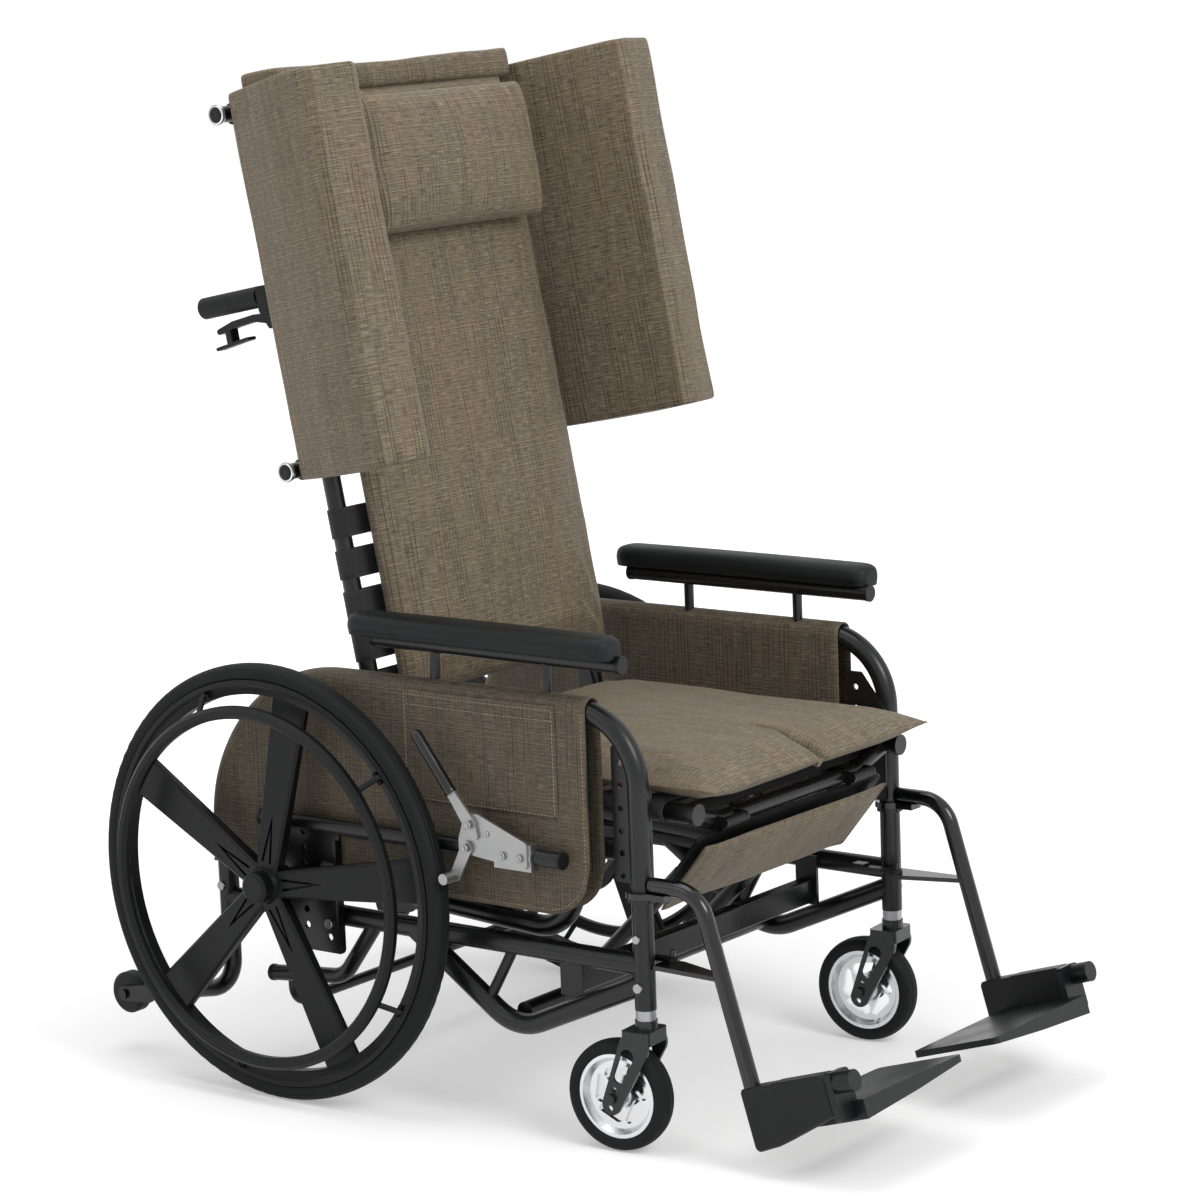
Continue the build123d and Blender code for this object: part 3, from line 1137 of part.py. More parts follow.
# ======================================================== calf rest, in its own frame
calf_frame = Plane(
    origin=(0, CALF_HINGE[0], CALF_HINGE[1]),
    x_dir=(1, 0, 0),
    z_dir=(0, -math.sin(math.radians(CALF_TUCK)), math.cos(math.radians(CALF_TUCK))),
)
board = block((-CALF_X, CALF_X), (-CALF_BOARD_T / 2, CALF_BOARD_T / 2), (-CALF_LENGTH, -15))
board = fillet(board.edges().filter_by(Axis.Y), 12)
for x in (-150, 150):
    board += cross_rod(x - 20, x + 20, 0, 0, 7)
    board += block((x - 20, x + 20), (-CALF_BOARD_T / 2, CALF_BOARD_T / 2), (-16, 0))
    board -= cross_rod(x - 25, x + 25, 0, 0, 4 + RUN_FIT)
keep("calf_board", calf_frame * board)
hinge_bits = []
for x in (-150, 150):
    hinge_pin = cross_rod(x - 26, x + 26, *CALF_HINGE, 4)
    for offset in (-1, 1):
        ear_at = x + offset * 23
        ear = sheet_yz(ear_at - 2, ear_at + 2, arm_face(bar_low, CALF_HINGE, 9, 7))
        hinge_pin += ear
    hinge_bits.append(hinge_pin - seat_bar)
keep("seat_plates", *hinge_bits)


def calf_slice(z, half_width, front):
    lines = Line((-half_width, CALF_BOARD_T / -2 - SEAT_GAP), (half_width, CALF_BOARD_T / -2 - SEAT_GAP))
    lines += Line((half_width, CALF_BOARD_T / -2 - SEAT_GAP), (half_width - 10, -front))
    lines += ThreePointArc((half_width - 10, -front), (0, -front - 5), (10 - half_width, -front))
    lines += Line((10 - half_width, -front), (-half_width, CALF_BOARD_T / -2 - SEAT_GAP))
    return Plane.XY.offset(z) * make_face(lines)


calf_face = CALF_BOARD_T / 2 + SEAT_GAP + CALF_PAD_T
calf_pad = loft(
    [
        calf_slice(-CALF_LENGTH - 4, CALF_X - 6, calf_face - 14),
        calf_slice(-CALF_LENGTH + 14, CALF_X + 2, calf_face - 5),
        calf_slice(-34, CALF_X + 2, calf_face - 5),
        calf_slice(-18, CALF_X - 4, calf_face - 14),
    ],
    ruled=True,
)
keep("calf_pad", calf_frame * calf_pad)

# ======================================================== footrests
slope = math.radians(HANGER_ANGLE)
down = Vector(0, -math.sin(slope), -math.cos(slope))
fore = Vector(0, -math.cos(slope), math.sin(slope))
bend_point = Vector(SIDE_X, HANGER_BEND_Y, HANGER_Z)
hanger_end = bend_point + down * HANGER_RUN
hanger = tube(
    [
        (SIDE_X, POST_Y - TUBE_R - 2.5, HANGER_Z),
        bend_point,
        hanger_end,
    ],
    HANGER_BEND_R,
    CROSS_R,
)
ring_face = Pos(SIDE_X, POST_Y) * Circle(RING_R)
ring_face += Pos(SIDE_X, POST_Y - 24) * Rectangle(24, 40)
ring = sheet_xy(RING_Z[0], RING_Z[1], ring_face)
post_clear = rod((SIDE_X, POST_Y, 200), (SIDE_X, POST_Y, 420), TUBE_R + RUN_FIT)
hanger = hanger + ring - post_clear
latch_y = bend_point.Y + down.Y * (HANGER_Z - LATCH_Z[0]) / math.cos(slope)
latch_face = poly(
    (SIDE_X - 18, POST_Y - 14),
    (SIDE_X + 3, POST_Y - 15.5),
    (SIDE_X + 8, latch_y),
    (SIDE_X - 8, latch_y),
    (SIDE_X - 34, POST_Y - 40),
    (SIDE_X - 34, POST_Y - 18),
)
latch_face -= Pos(SIDE_X, POST_Y) * Circle(TUBE_R + 0.4)
latch_plate = sheet_xy(LATCH_Z[0], LATCH_Z[1], latch_face)
latch_plate = latch_plate.solids().sort_by(SortBy.VOLUME)[-1]
hanger += latch_plate
latch_pin = (SIDE_X - 26, POST_Y - 27)
hanger += rod((*latch_pin, LATCH_Z[1] - 1), (*latch_pin, LATCH_Z[1] + 16), 3.5)
hanger -= rod((hanger_end - down * 120), (hanger_end + down), HANGER_BORE_R)
pair("footrest_hanger", hanger)

latch_lever_face = arm_face(latch_pin, (SIDE_X - 25, POST_Y - 2), 7.5, 6)
latch_lever_face += arm_face((SIDE_X - 25, POST_Y - 2), (SIDE_X - 29, POST_Y + 32), 6, 7)
latch_lever_face -= Pos(*latch_pin) * Circle(3.5 + RUN_FIT)
latch_lever = sheet_xy(LATCH_Z[1] + SEAT_GAP, LATCH_Z[1] + 5, latch_lever_face)
latch_lever += block(
    (SIDE_X - 37, SIDE_X - 22), (POST_Y + 22, POST_Y + 41), (LATCH_Z[1] + 4, LATCH_Z[1] + 9)
)
pair("latch_lever", latch_lever)

foot_frame = Plane(
    origin=(FOOT_X, HINGE_FRONT[0], HINGE_FRONT[1]),
    x_dir=(-1, 0, 0),
    z_dir=fore,
)
# in foot_frame local x runs inboard, local y runs down, local z runs forward along the hinge
tube_at = foot_frame.to_local_coords(hanger_end)
ext_top = hanger_end - down * EXTENSION_INSIDE
ext_end = hanger_end + down * 78
extension = rod(ext_top, ext_end, EXTENSION_R)
rear = tube_at.Z
shell_face = rounded(
    [
        (-15, rear - 14),
        (-15, -34),
        (40, -34),
        (66, rear + 26),
        (70, rear - 14),
    ],
    8,
)
shell_plane = Plane(origin=(0, 0, 0), x_dir=(0, 1, 0), z_dir=(1, 0, 0))
foot_shell = extrude(shell_plane * shell_face, amount=FOOT_BLOCK_T / 2, both=True)
foot_shell = chamfer(foot_shell.faces().sort_by(Axis.X)[0].edges(), 2.5)
shell_world = foot_frame * foot_shell
shell_top = hanger_end + down * 0.5
shell_world -= rod((hanger_end - down * 60), shell_top, 40)
shell_world -= rod((hanger_end - down * 60), (ext_end + down * 4), EXTENSION_R + WELD_GAP)
hinge_axis = foot_frame * rod((0, 0, -38), (0, 0, -1), 6)
shell_world += hinge_axis
shell_world = shell_world.solids().sort_by(SortBy.VOLUME)[-1]
pair("foot_extension", extension, shell_world)

deep = FOOT_PLATE_DEPTH
inner = FOOT_X - FOOT_PLATE_IN
plate_profile = poly(
    (FOOT_BLOCK_T / 2 + 3, FOOT_PLATE_DROP),
    (inner, FOOT_PLATE_DROP + 1),
    (inner, FOOT_PLATE_DROP + FOOT_THIN),
    (inner * 0.55, FOOT_PLATE_DROP + FOOT_THICK * 0.74),
    (FOOT_BLOCK_T / 2 + 3, FOOT_PLATE_DROP + FOOT_THICK),
)
foot_plate = extrude(Plane.XY.offset(-5 - deep) * plate_profile, amount=deep)
foot_plate = fillet(foot_plate.faces().sort_by(Axis.X)[-1].edges().filter_by(Axis.Y), 7)
under = block((FOOT_BLOCK_T / 2 + 10, inner - 14), (FOOT_PLATE_DROP + 9, 80), (-5 - deep + 9, -14))
under -= extrude(
    Plane.XY.offset(-5 - deep)
    * poly((0, 0), (300, 0), (300, FOOT_PLATE_DROP + 5), (0, FOOT_PLATE_DROP + 8)),
    amount=deep,
)
foot_plate -= under
ear_plate = block((-14, FOOT_BLOCK_T / 2 + 16), (-15, FOOT_PLATE_DROP + FOOT_THICK - 4), (-33.5, -24))
ear_plate = fillet(ear_plate.edges().filter_by(Axis.Z), 7)
foot_plate += ear_plate
foot_plate += rod((0, 0, -25), (0, 0, 3), 14)
foot_plate -= rod((0, 0, -40), (0, 0, -0.7), 6 + RUN_FIT)
pair("footplate", foot_frame * foot_plate)

# ======================================================== fasteners


def screw(x, y, z, radius, height):
    """A button head that stands off a face towards +X."""
    head = cross_rod(x, x + height, y, z, radius)
    return chamfer(head.edges().sort_by(Axis.X)[-1], 0.8)


frame_face = SIDE_X + TUBE_R
plate_front = PLATE_X + PLATE_T
bolts = [
    screw(frame_face, POST_Y, 226, 6.5, 4.5),
    screw(frame_face, POST_Y, 291, 5.5, 4.0),
    screw(plate_front, plate_holes_y[0], spacer_z, 7, 4),
    screw(plate_front, plate_holes_y[1], spacer_z, 7, 4),
    screw(frame_face, REAR_LEG_Y, 272, 6.5, 4.5),
]
both("frame_fittings", *bolts)

# ======================================================== set the origin and write the parts
boxes = [solid.bounding_box() for solids in NODES.values() for solid in solids]
lows = [min(box.min.X for box in boxes), min(box.min.Y for box in boxes), min(box.min.Z for box in boxes)]
highs = [max(box.max.X for box in boxes), max(box.max.Y for box in boxes)]
MIDDLE = ((lows[0] + highs[0]) / 2, (lows[1] + highs[1]) / 2, lows[2])
to_origin = Pos(-MIDDLE[0], -MIDDLE[1], -MIDDLE[2])

os.makedirs("parts", exist_ok=True)
for name, solids in NODES.items():
    export_step(to_origin * Compound(solids), "parts/" + name + ".step")
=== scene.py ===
import math

import bmesh
import bpy
import numpy as np
from mathutils import Matrix, Vector


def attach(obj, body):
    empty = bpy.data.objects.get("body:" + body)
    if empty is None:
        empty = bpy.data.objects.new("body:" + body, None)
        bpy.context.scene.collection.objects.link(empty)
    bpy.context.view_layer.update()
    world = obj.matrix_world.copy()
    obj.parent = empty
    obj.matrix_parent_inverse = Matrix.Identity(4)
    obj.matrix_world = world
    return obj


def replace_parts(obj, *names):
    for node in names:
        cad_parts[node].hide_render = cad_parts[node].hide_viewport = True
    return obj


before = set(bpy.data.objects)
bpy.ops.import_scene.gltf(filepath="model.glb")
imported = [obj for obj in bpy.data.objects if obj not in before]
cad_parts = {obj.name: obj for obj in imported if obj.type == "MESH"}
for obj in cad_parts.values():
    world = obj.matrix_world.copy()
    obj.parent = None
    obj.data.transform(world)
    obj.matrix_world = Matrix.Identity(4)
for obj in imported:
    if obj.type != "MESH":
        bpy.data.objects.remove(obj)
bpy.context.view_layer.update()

# Looks of the tilt-in-space wheelchair. Metres in Blender; the named sizes are millimetres,
# measured from the rear axle (y = 0) and the ground (z = 0) as in the part's source.
MIDDLE_Y = -270.503

# ---- sizes shared with the part's source ----
RAIL_R = 12.7
SEAT_X = 238.5
SEAT_RAIL_Z = 448.5
BACK_X = 238.0
BACK_HINGE = (-116.0, 450.0)
BACK_LEAN = math.radians(11.0)
BACK_LENGTH = 945.0
CALF_HINGE = (-634.0, 424.0)
CALF_TUCK = math.radians(39.0)
CALF_LENGTH = 140.0
STRAP_W = 40.0
STRAP_T = 2.0
STRAP_GAP = 0.15
SEAT_STRAP_Y = (-572.0, -508.0, -444.0, -350.0, -248.0)
PILLOW_BACK = 86.5
PILLOW_GAP = 0.8
BACK_STRAP_AT = [118.0 + 57.0 * i for i in range(14)]
HANDLE_AT = 670.0
WING_TUBE_AT = (428.0, 918.0)
WING_TUBE_END = 294.0
WING_TUBE_BEHIND = 24.0
WING_CLAMP_X = (256.0, 268.0)
SIDE_X = 291.7
TUBE_R = 14.3
RAIL_Z = 585.0
REAR_LEG_Y = 142.0
REAR_BEND_R = 230.0
PANEL_FRONT_Y = -514.0
PANEL_LOW_Z = 308.0
PANEL_CORNER_R = 70.0
PANEL_T = 2.2
POCKET_Y = (-466.0, -209.0)
POCKET_Z = (437.0, 588.0)
ARM_X = 287.8
ARM_Z = 647.0
ARM_TUBE_R = 11.0
PAD_Y = (-559.0, -122.0)
PAD_OFFSET = 12.0
PAD_SINK = 3.0
WHEEL_X = 354.0
WHEEL_R = 305.0
TYRE_W = 31.0
TYRE_DEPTH = 20.5
CASTER_R = 75.0
CASTER_W = 34.0
CASTER_RIM_R = 57.0
CASTER_TRAIL = 42.0
CASTER_TURN = math.radians(5.6)
POST_Y = -585.0
BRAKE_Z = 387.0
BRAKE_BLOCK_Y = (-WHEEL_R - 135.0, -WHEEL_R - 73.0)
BRAKE_LEVER_PIVOT = (-WHEEL_R - 40.0, BRAKE_Z + 37.0)
BRAKE_LEVER_BEND = (-WHEEL_R - 13.0, BRAKE_Z + 72.0)
BRAKE_LEVER_TIP = (-WHEEL_R + 43.0, BRAKE_Z + 146.0)
BRAKE_ARM_PIVOT = (-WHEEL_R - 33.0, BRAKE_Z + 5.0)
BRAKE_GRIP_R = 7.5
BRAKE_PLATE_X = 341.0
BRAKE_LEVER_X = BRAKE_PLATE_X + 2.3
# the part's section, with the fold that runs down the outer side
# the part's section, with the fold that runs down the outer side
WING_SECTION = [
    (255, -6), (291, -6), (340, 100), (372, 192), (367, 216), (300, 232), (284, 222), (255, 24),
]
WING_AT = (413.0, 943.0)
SIDES = ((1, "_left"), (-1, "_right"))


# ============================================================ frames and meshes
def frame_matrix(origin, x_dir, y_dir, z_dir):
    """A frame whose units are millimetres, mapped into the row frame in metres."""
    m = Matrix((x_dir, y_dir, z_dir)).transposed().to_4x4()
    m.translation = Vector((origin[0], origin[1] - MIDDLE_Y, origin[2]))
    return Matrix.Scale(0.001, 4) @ m


def leaning(hinge, lean):
    """x across, y forward of the tubes or the board that the hinge holds, z up along them."""
    forward = (0, -math.cos(lean), math.sin(lean))
    return frame_matrix((0, *hinge), (1, 0, 0), forward, (0, math.sin(lean), math.cos(lean)))


WORLD = frame_matrix((0, 0, 0), (1, 0, 0), (0, 1, 0), (0, 0, 1))
BACK = leaning(BACK_HINGE, BACK_LEAN)
CALF = leaning(CALF_HINGE, -CALF_TUCK)
# x across, y up, z rearwards
SEAT, SEAT_STRAPS = (
    frame_matrix((0, 0, z), (1, 0, 0), (0, 0, 1), (0, 1, 0)) for z in (0, SEAT_RAIL_Z)
)


def placed(points, place):
    """Millimetre points in a frame, as row-frame metres."""
    points = np.asarray(points, float).reshape(-1, 3)
    m = np.array(place)
    return points @ m[:3, :3].T + m[:3, 3]


def shown(name, data):
    """An object for some data, in the scene."""
    obj = bpy.data.objects.new(name, data)
    bpy.context.scene.collection.objects.link(obj)
    return obj


def new_piece(name, points, faces, place, body, mat):
    """One named piece of the chair from millimetre points in a frame."""
    mesh = bpy.data.meshes.new(name)
    mesh.from_pydata([tuple(p) for p in placed(points, place)], [], faces)
    mesh.validate()
    mesh.materials.append(mat)
    mesh.polygons.foreach_set("use_smooth", [True] * len(mesh.polygons))
    obj = shown(name, mesh)
    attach(obj, body)
    return obj


def grid_faces(rows, cols, wrap_rows=False, wrap_cols=False, start=0):
    """The faces of a grid of points that are given row by row."""
    faces = []
    for i in range(rows if wrap_rows else rows - 1):
        for j in range(cols if wrap_cols else cols - 1):
            here, ahead = start + i * cols, start + (i + 1) % rows * cols
            k = (j + 1) % cols
            faces.append((here + j, here + k, ahead + k, ahead + j))
    return faces


def capped_faces(rows, cols):
    """The faces of a tube of points, with one face across each end."""
    last = range((rows - 1) * cols, rows * cols)
    return grid_faces(rows, cols, wrap_cols=True) + [tuple(range(cols)), tuple(reversed(last))]


def turn_angles(count):
    """One whole turn in even steps."""
    return [2 * math.pi * i / count for i in range(count)]


def coordinates(mesh):
    """A mesh's points, in row-frame metres."""
    co = np.zeros(len(mesh.vertices) * 3)
    mesh.vertices.foreach_get("co", co)
    return co.reshape(-1, 3)


def measured(mesh, place):
    """A mesh's points in a frame, in millimetres."""
    back = np.array(place.inverted())
    return coordinates(mesh) @ back[:3, :3].T + back[:3, 3]


def move_to(obj, points):
    """Moves a piece's points, in row-frame metres."""
    obj.data.vertices.foreach_set("co", points.ravel())
    obj.data.update()


def outward(obj):
    """Turns a closed piece's faces outward."""
    bm = bmesh.new()
    bm.from_mesh(obj.data)
    bmesh.ops.remove_doubles(bm, verts=bm.verts, dist=1e-5)
    bmesh.ops.recalc_face_normals(bm, faces=bm.faces)
    bm.to_mesh(obj.data)
    bm.free()
    return obj


def map_cloth(obj, place):
    """Lays the weave on a piece: each face takes the two directions it spreads along, in metres."""
    mesh = obj.data
    local = measured(mesh, place) / 1000
    turn = np.array(place.inverted())[:3, :3]
    normals = np.zeros(len(mesh.polygons) * 3)
    mesh.polygons.foreach_get("normal", normals)
    axis = np.abs(normals.reshape(-1, 3) @ turn.T).argmax(1)
    totals = np.zeros(len(mesh.polygons), int)
    mesh.polygons.foreach_get("loop_total", totals)
    axis = np.repeat(axis, totals)
    vert = np.zeros(len(mesh.loops), int)
    mesh.loops.foreach_get("vertex_index", vert)
    first, second = np.array([1, 0, 0])[axis], np.array([2, 2, 1])[axis]
    uv = np.stack([local[vert, first], local[vert, second]], 1)
    mesh.uv_layers.new(name="weave").data.foreach_set("uv", uv.ravel())


def lay_weave(obj, uv):
    """Lays the weave on a piece from a place in it for each point, in metres."""
    layer = obj.data.uv_layers.new(name="weave")
    for loop in obj.data.loops:
        layer.data[loop.index].uv = uv[loop.vertex_index]


def subdivide(obj, levels=1):
    mod = obj.modifiers.new("subdivide", "SUBSURF")
    mod.levels = levels
    mod.render_levels = levels


def thicken(obj, thickness):
    """Gives a cloth piece its thickness in millimetres, half to each side."""
    mod = obj.modifiers.new("thickness", "SOLIDIFY")
    mod.thickness = thickness / 1000
    mod.offset = 0


def soft_noise(points, size, seed):
    """Smooth unevenness, about -1 to 1, that varies over about `size` millimetres."""
    source = np.random.default_rng(seed)
    value = np.zeros(len(points))
    for _ in range(9):
        direction = source.normal(size=3)
        direction /= np.linalg.norm(direction)
        wave = size * source.uniform(0.7, 1.8)
        value += np.sin(points @ direction * (2 * math.pi / wave) + source.uniform(0, 2 * math.pi))
    return value / 4.0


# ============================================================ shader building
def srgb(r, g, b):
    """A colour as sampled from a picture, 0-255, as a shader colour."""
    linear = [((c / 255 + 0.055) / 1.055) ** 2.4 if c > 10 else c / 255 / 12.92 for c in (r, g, b)]
    return (*linear, 1.0)


def lighter(colour, factor, lift):
    """A paler shade of a colour."""
    return (*(min(1.0, c * factor + lift) for c in colour[:3]), 1.0)


class Nodes:
    """A material's or a world's empty node tree, and short calls to add nodes to it."""

    def __init__(self, owner):
        owner.use_nodes = True
        self.tree = owner.node_tree
        self.tree.nodes.clear()

    def node(self, kind, **inputs):
        """A new node; each input named here takes a number or another node's output."""
        node = self.tree.nodes.new("ShaderNode" + kind)
        for socket, value in inputs.items():
            self.feed(node, socket, value)
        return node

    def feed(self, node, socket, value):
        if isinstance(value, bpy.types.NodeSocket):
            self.tree.links.new(value, node.inputs[socket])
        else:
            node.inputs[socket].default_value = value

    def maths(self, operation, *values):
        node = self.node("Math")
        node.operation = operation
        for index, value in enumerate(values):
            self.feed(node, index, value)
        return node.outputs[0]

    def times(self, a, b):
        return self.maths("MULTIPLY", a, b)

    def plus(self, a, b):
        return self.maths("ADD", a, b)

    def ranged(self, value, *limits):
        """A value from one range (low, high) in another one, 0 to 1 unless it is given."""
        node = self.node("MapRange")
        for index, number in enumerate((value, *limits)):
            self.feed(node, index, number)
        return node.outputs[0]

    def seen_directly(self):
        """1 where a ray comes from the camera or from a mirror-like or clear surface."""
        path = self.node("LightPath").outputs
        total = path["Is Camera Ray"]
        for other in ("Is Glossy Ray", "Is Transmission Ray"):
            total = self.plus(total, path[other])
            total.node.use_clamp = True
        return total


class Shader(Nodes):
    """A material with a principled surface."""

    def __init__(self, name, colour, roughness, metallic=0.0, specular=0.5):
        self.mat = bpy.data.materials.new(name)
        super().__init__(self.mat)
        self.bsdf = self.node("BsdfPrincipled", Roughness=roughness, Metallic=metallic)
        self.node("OutputMaterial", Surface=self.bsdf.outputs[0])
        self.set("Base Color", colour)
        self.set("Specular IOR Level", specular)

    def set(self, socket, value):
        self.feed(self.bsdf, socket, value)

    def space(self):
        return self.node("TexCoord").outputs["Object"]

    def weave_space(self):
        node = self.node("UVMap")
        node.uv_map = "weave"
        return node.outputs[0]

    def stretched(self, vector, scale, location=(0, 0, 0)):
        return self.node("Mapping", Vector=vector, Scale=scale, Location=location).outputs[0]

    def split(self, vector):
        return self.node("SeparateXYZ", Vector=vector).outputs

    def noise(self, vector, scale=1.0, detail=2.0, roughness=0.5):
        node = self.node("TexNoise", Vector=vector, Scale=scale, Detail=detail, Roughness=roughness)
        return node.outputs[0]

    def cell_edges(self, value, cell):
        """Distance to irregular lines about `cell` metres apart, in cells."""
        node = self.node("TexVoronoi")
        node.voronoi_dimensions = "1D"
        node.feature = "DISTANCE_TO_EDGE"
        for socket, number in (("W", value), ("Scale", 1 / cell), ("Randomness", 1.0)):
            self.feed(node, socket, number)
        return node.outputs[0]

    def mix(self, factor, a, b):
        node = self.node("Mix")
        node.data_type = "RGBA"
        for index, value in ((0, factor), (6, a), (7, b)):
            self.feed(node, index, value)
        return node.outputs[2]

    def ramp(self, factor, stops):
        node = self.node("ValToRGB")
        self.feed(node, 0, factor)
        while len(node.color_ramp.elements) < len(stops):
            node.color_ramp.elements.new(0.5)
        for element, (where, colour) in zip(node.color_ramp.elements, stops):
            element.position = where
            element.color = colour
        return node.outputs[0]

    def bump(self, height, distance, strength):
        node = self.node("Bump", Height=height, Distance=distance, Strength=strength)
        self.set("Normal", node.outputs[0])


def fabric(name, painted_shade_factor=1.0):
    """The chair's woven upholstery: slubby crossing threads in greys, tans and ochres. A factor
    below 1 darkens every colour, which paints shade into a copy of the cloth.
    """
    s = Shader(name, srgb(118, 108, 93), 0.62, specular=0.3)
    s.set("Sheen Weight", 0.22)
    s.set("Sheen Roughness", 0.40)
    s.set("Sheen Tint", srgb(200, 197, 190))
    x, y, _ = s.split(s.weave_space())
    flat = s.node("CombineXYZ", X=x, Y=y).outputs[0]

    # each thread colour times the factor; a factor below 1 is painted shade
    def thread_colour_with_shade(r, g, b):
        return srgb(r * painted_shade_factor, g * painted_shade_factor, b * painted_shade_factor)

    def slubs(scale, location=(0, 0, 0), detail=1.0):
        """Long uneven dashes, drawn out by the scale each way."""
        return s.noise(s.stretched(flat, scale, location), 1.0, detail)

    def threads(value, cell, core, edge):
        """1 on irregular lines and 0 between them."""
        return s.ranged(s.cell_edges(value, cell), core, edge, 1.0, 0.0)

    # level threads over upright ones, both a millimetre or so thick
    level = slubs((60, 820, 1), (3, 7, 0))
    upright = slubs((760, 22, 1))
    stops = (
        (0.30, (72, 63, 51)), (0.45, (103, 93, 78)),
        (0.58, (122, 112, 96)), (0.76, (156, 145, 126)),
    )
    colour = s.ramp(level, [(where, thread_colour_with_shade(*tint)) for where, tint in stops])
    colour = s.mix(s.ranged(upright, 0.26, 0.50, 0.62, 0.0), colour, thread_colour_with_shade(66, 57, 46))
    colour = s.mix(s.ranged(upright, 0.55, 0.76, 0.0, 0.42), colour, thread_colour_with_shade(148, 136, 116))
    # thin pale threads across, each with a dark one below it
    fade = s.ranged(slubs((4, 60, 1)), 0.34, 0.58)
    pale = threads(y, 0.0092, 0.034, 0.064)
    below = threads(s.plus(y, 0.0012), 0.0092, 0.040, 0.080)
    colour = s.mix(s.times(below, 0.50), colour, thread_colour_with_shade(60, 51, 41))
    colour = s.mix(s.times(pale, s.times(fade, 0.50)), colour, thread_colour_with_shade(176, 156, 124))
    # ochre and dark threads upright, in groups
    group = s.ranged(slubs((30, 3, 1), (11, 2, 0), 1.5), 0.44, 0.58)
    streak = threads(x, 0.0060, 0.05, 0.11)
    colour = s.mix(s.times(streak, s.times(group, 0.60)), colour, thread_colour_with_shade(146, 116, 76))
    some = s.ranged(slubs((44, 5, 1), (5, 19, 0)), 0.46, 0.58)
    dark = threads(s.plus(x, 0.43), 0.0070, 0.05, 0.11)
    colour = s.mix(s.times(dark, s.times(some, 0.80)), colour, thread_colour_with_shade(46, 38, 30))
    # slow drift between grey-purple and olive
    drift = slubs((6, 6, 1), (1, 4, 0), 2.0)
    colour = s.mix(s.ranged(drift, 0.35, 0.65, 0.0, 0.14), colour, thread_colour_with_shade(108, 99, 72))
    s.set("Base Color", colour)
    s.set("Roughness", s.ranged(level, 0.3, 0.7, 0.54, 0.72))
    s.bump(s.plus(s.times(upright, 0.6), s.times(level, 0.8)), 0.0006, 0.45)
    return s.mat


def paint(name, colour, roughness, coat, grain=0.00006):
    """Powder-coated or painted metal, with fine orange peel and rubbed patches."""
    s = Shader(name, colour, roughness, specular=0.34)
    place = s.space()
    peel = s.noise(place, 900.0)
    rub = s.noise(s.stretched(place, (9, 9, 9)), 1.0, 4.0, 0.6)
    s.set("Roughness", s.ranged(rub, 0.35, 0.7, roughness - 0.05, roughness + 0.09))
    worn = s.ranged(rub, 0.52, 0.75, 0.0, 0.45)
    s.set("Base Color", s.mix(worn, colour, lighter(colour, 1.7, 0.004)))
    s.bump(peel, grain, 0.5)
    s.set("Coat Weight", coat)
    s.set("Coat Roughness", 0.12)
    return s.mat


def moulded(name, colour, roughness, grain=0.00012, scale=1400.0, specular=0.26):
    """Moulded plastic or rubber with a fine stippled skin."""
    s = Shader(name, colour, roughness, specular=specular)
    place = s.space()
    stipple = s.noise(place, scale, 3.0, 0.6)
    cloud = s.noise(place, 14.0, 3.0)
    bleached = s.ranged(cloud, 0.4, 0.7, 0.0, 0.5)
    s.set("Base Color", s.mix(bleached, colour, lighter(colour, 1.5, 0.003)))
    s.set("Roughness", s.ranged(cloud, 0.3, 0.7, roughness - 0.05, roughness + 0.07))
    s.bump(stipple, grain, 0.6)
    return s.mat


def metal(name, colour, roughness, lay=(400, 400, 12)):
    """Bare or plated metal, with the fine lines that turning or brushing leaves."""
    s = Shader(name, colour, roughness, metallic=1.0)
    place = s.space()
    brushed = s.noise(s.stretched(place, lay))
    smudge = s.noise(place, 30.0, 3.0)
    s.set("Roughness", s.ranged(smudge, 0.3, 0.7, roughness - 0.04, roughness + 0.1))
    s.bump(brushed, 0.00005, 0.5)
    return s.mat


def webbing(name):
    """Ribbed black webbing: the weave runs along the strap in the piece's own coordinates."""
    s = Shader(name, srgb(30, 30, 31), 0.75, specular=0.3)
    s.set("Sheen Weight", 0.25)
    x, y, _ = s.split(s.weave_space())
    ribs = s.maths("SINE", s.times(x, 2 * math.pi / 0.0021))
    cross = s.maths("SINE", s.times(y, 2 * math.pi / 0.0034))
    fuzz = s.noise(s.space(), 700.0, 3.0)
    s.set("Base Color", s.mix(s.ranged(fuzz, 0.35, 0.7), srgb(20, 20, 21), srgb(46, 46, 48)))
    s.bump(s.times(ribs, cross), 0.0005, 0.5)
    return s.mat


FABRIC = fabric("cloth_upholstery")
# the side panels and pockets: the same cloth darkened by a fifth, painted shade where the panels
# face away from the lamps
FABRIC_PAINTED_SHADE = fabric("cloth_panels_painted_shade", painted_shade_factor=0.80)
BLACK_FRAME = paint("paint_satin_black", srgb(13, 14, 15), 0.31, 0.08)
BLACK_GLOSS = paint("paint_gloss_black", srgb(10, 11, 13), 0.18, 0.4, grain=0.00003)
PLASTIC = moulded("plastic_black", srgb(15, 16, 17), 0.42)
WHEEL_PLASTIC = moulded("plastic_wheel", srgb(10, 11, 12), 0.44, grain=0.00008, specular=0.22)
RUBBER = moulded("rubber_black", srgb(16, 17, 18), 0.58, grain=0.0002)
TYRE = moulded("rubber_tyre", srgb(15, 16, 17), 0.66, grain=0.0002, specular=0.22)
SOFT_PAD = moulded("moulded_pad", srgb(11, 15, 16), 0.48, 0.00022, 1900.0, specular=0.24)
FORK_BLACK = paint("paint_fork", srgb(26, 28, 29), 0.26, 0.25)
FOOT_PLASTIC = moulded("plastic_footplate", srgb(16, 18, 19), 0.34, 0.0003, 520.0, specular=0.32)
STEEL = metal("steel_bare", srgb(160, 160, 162), 0.30)
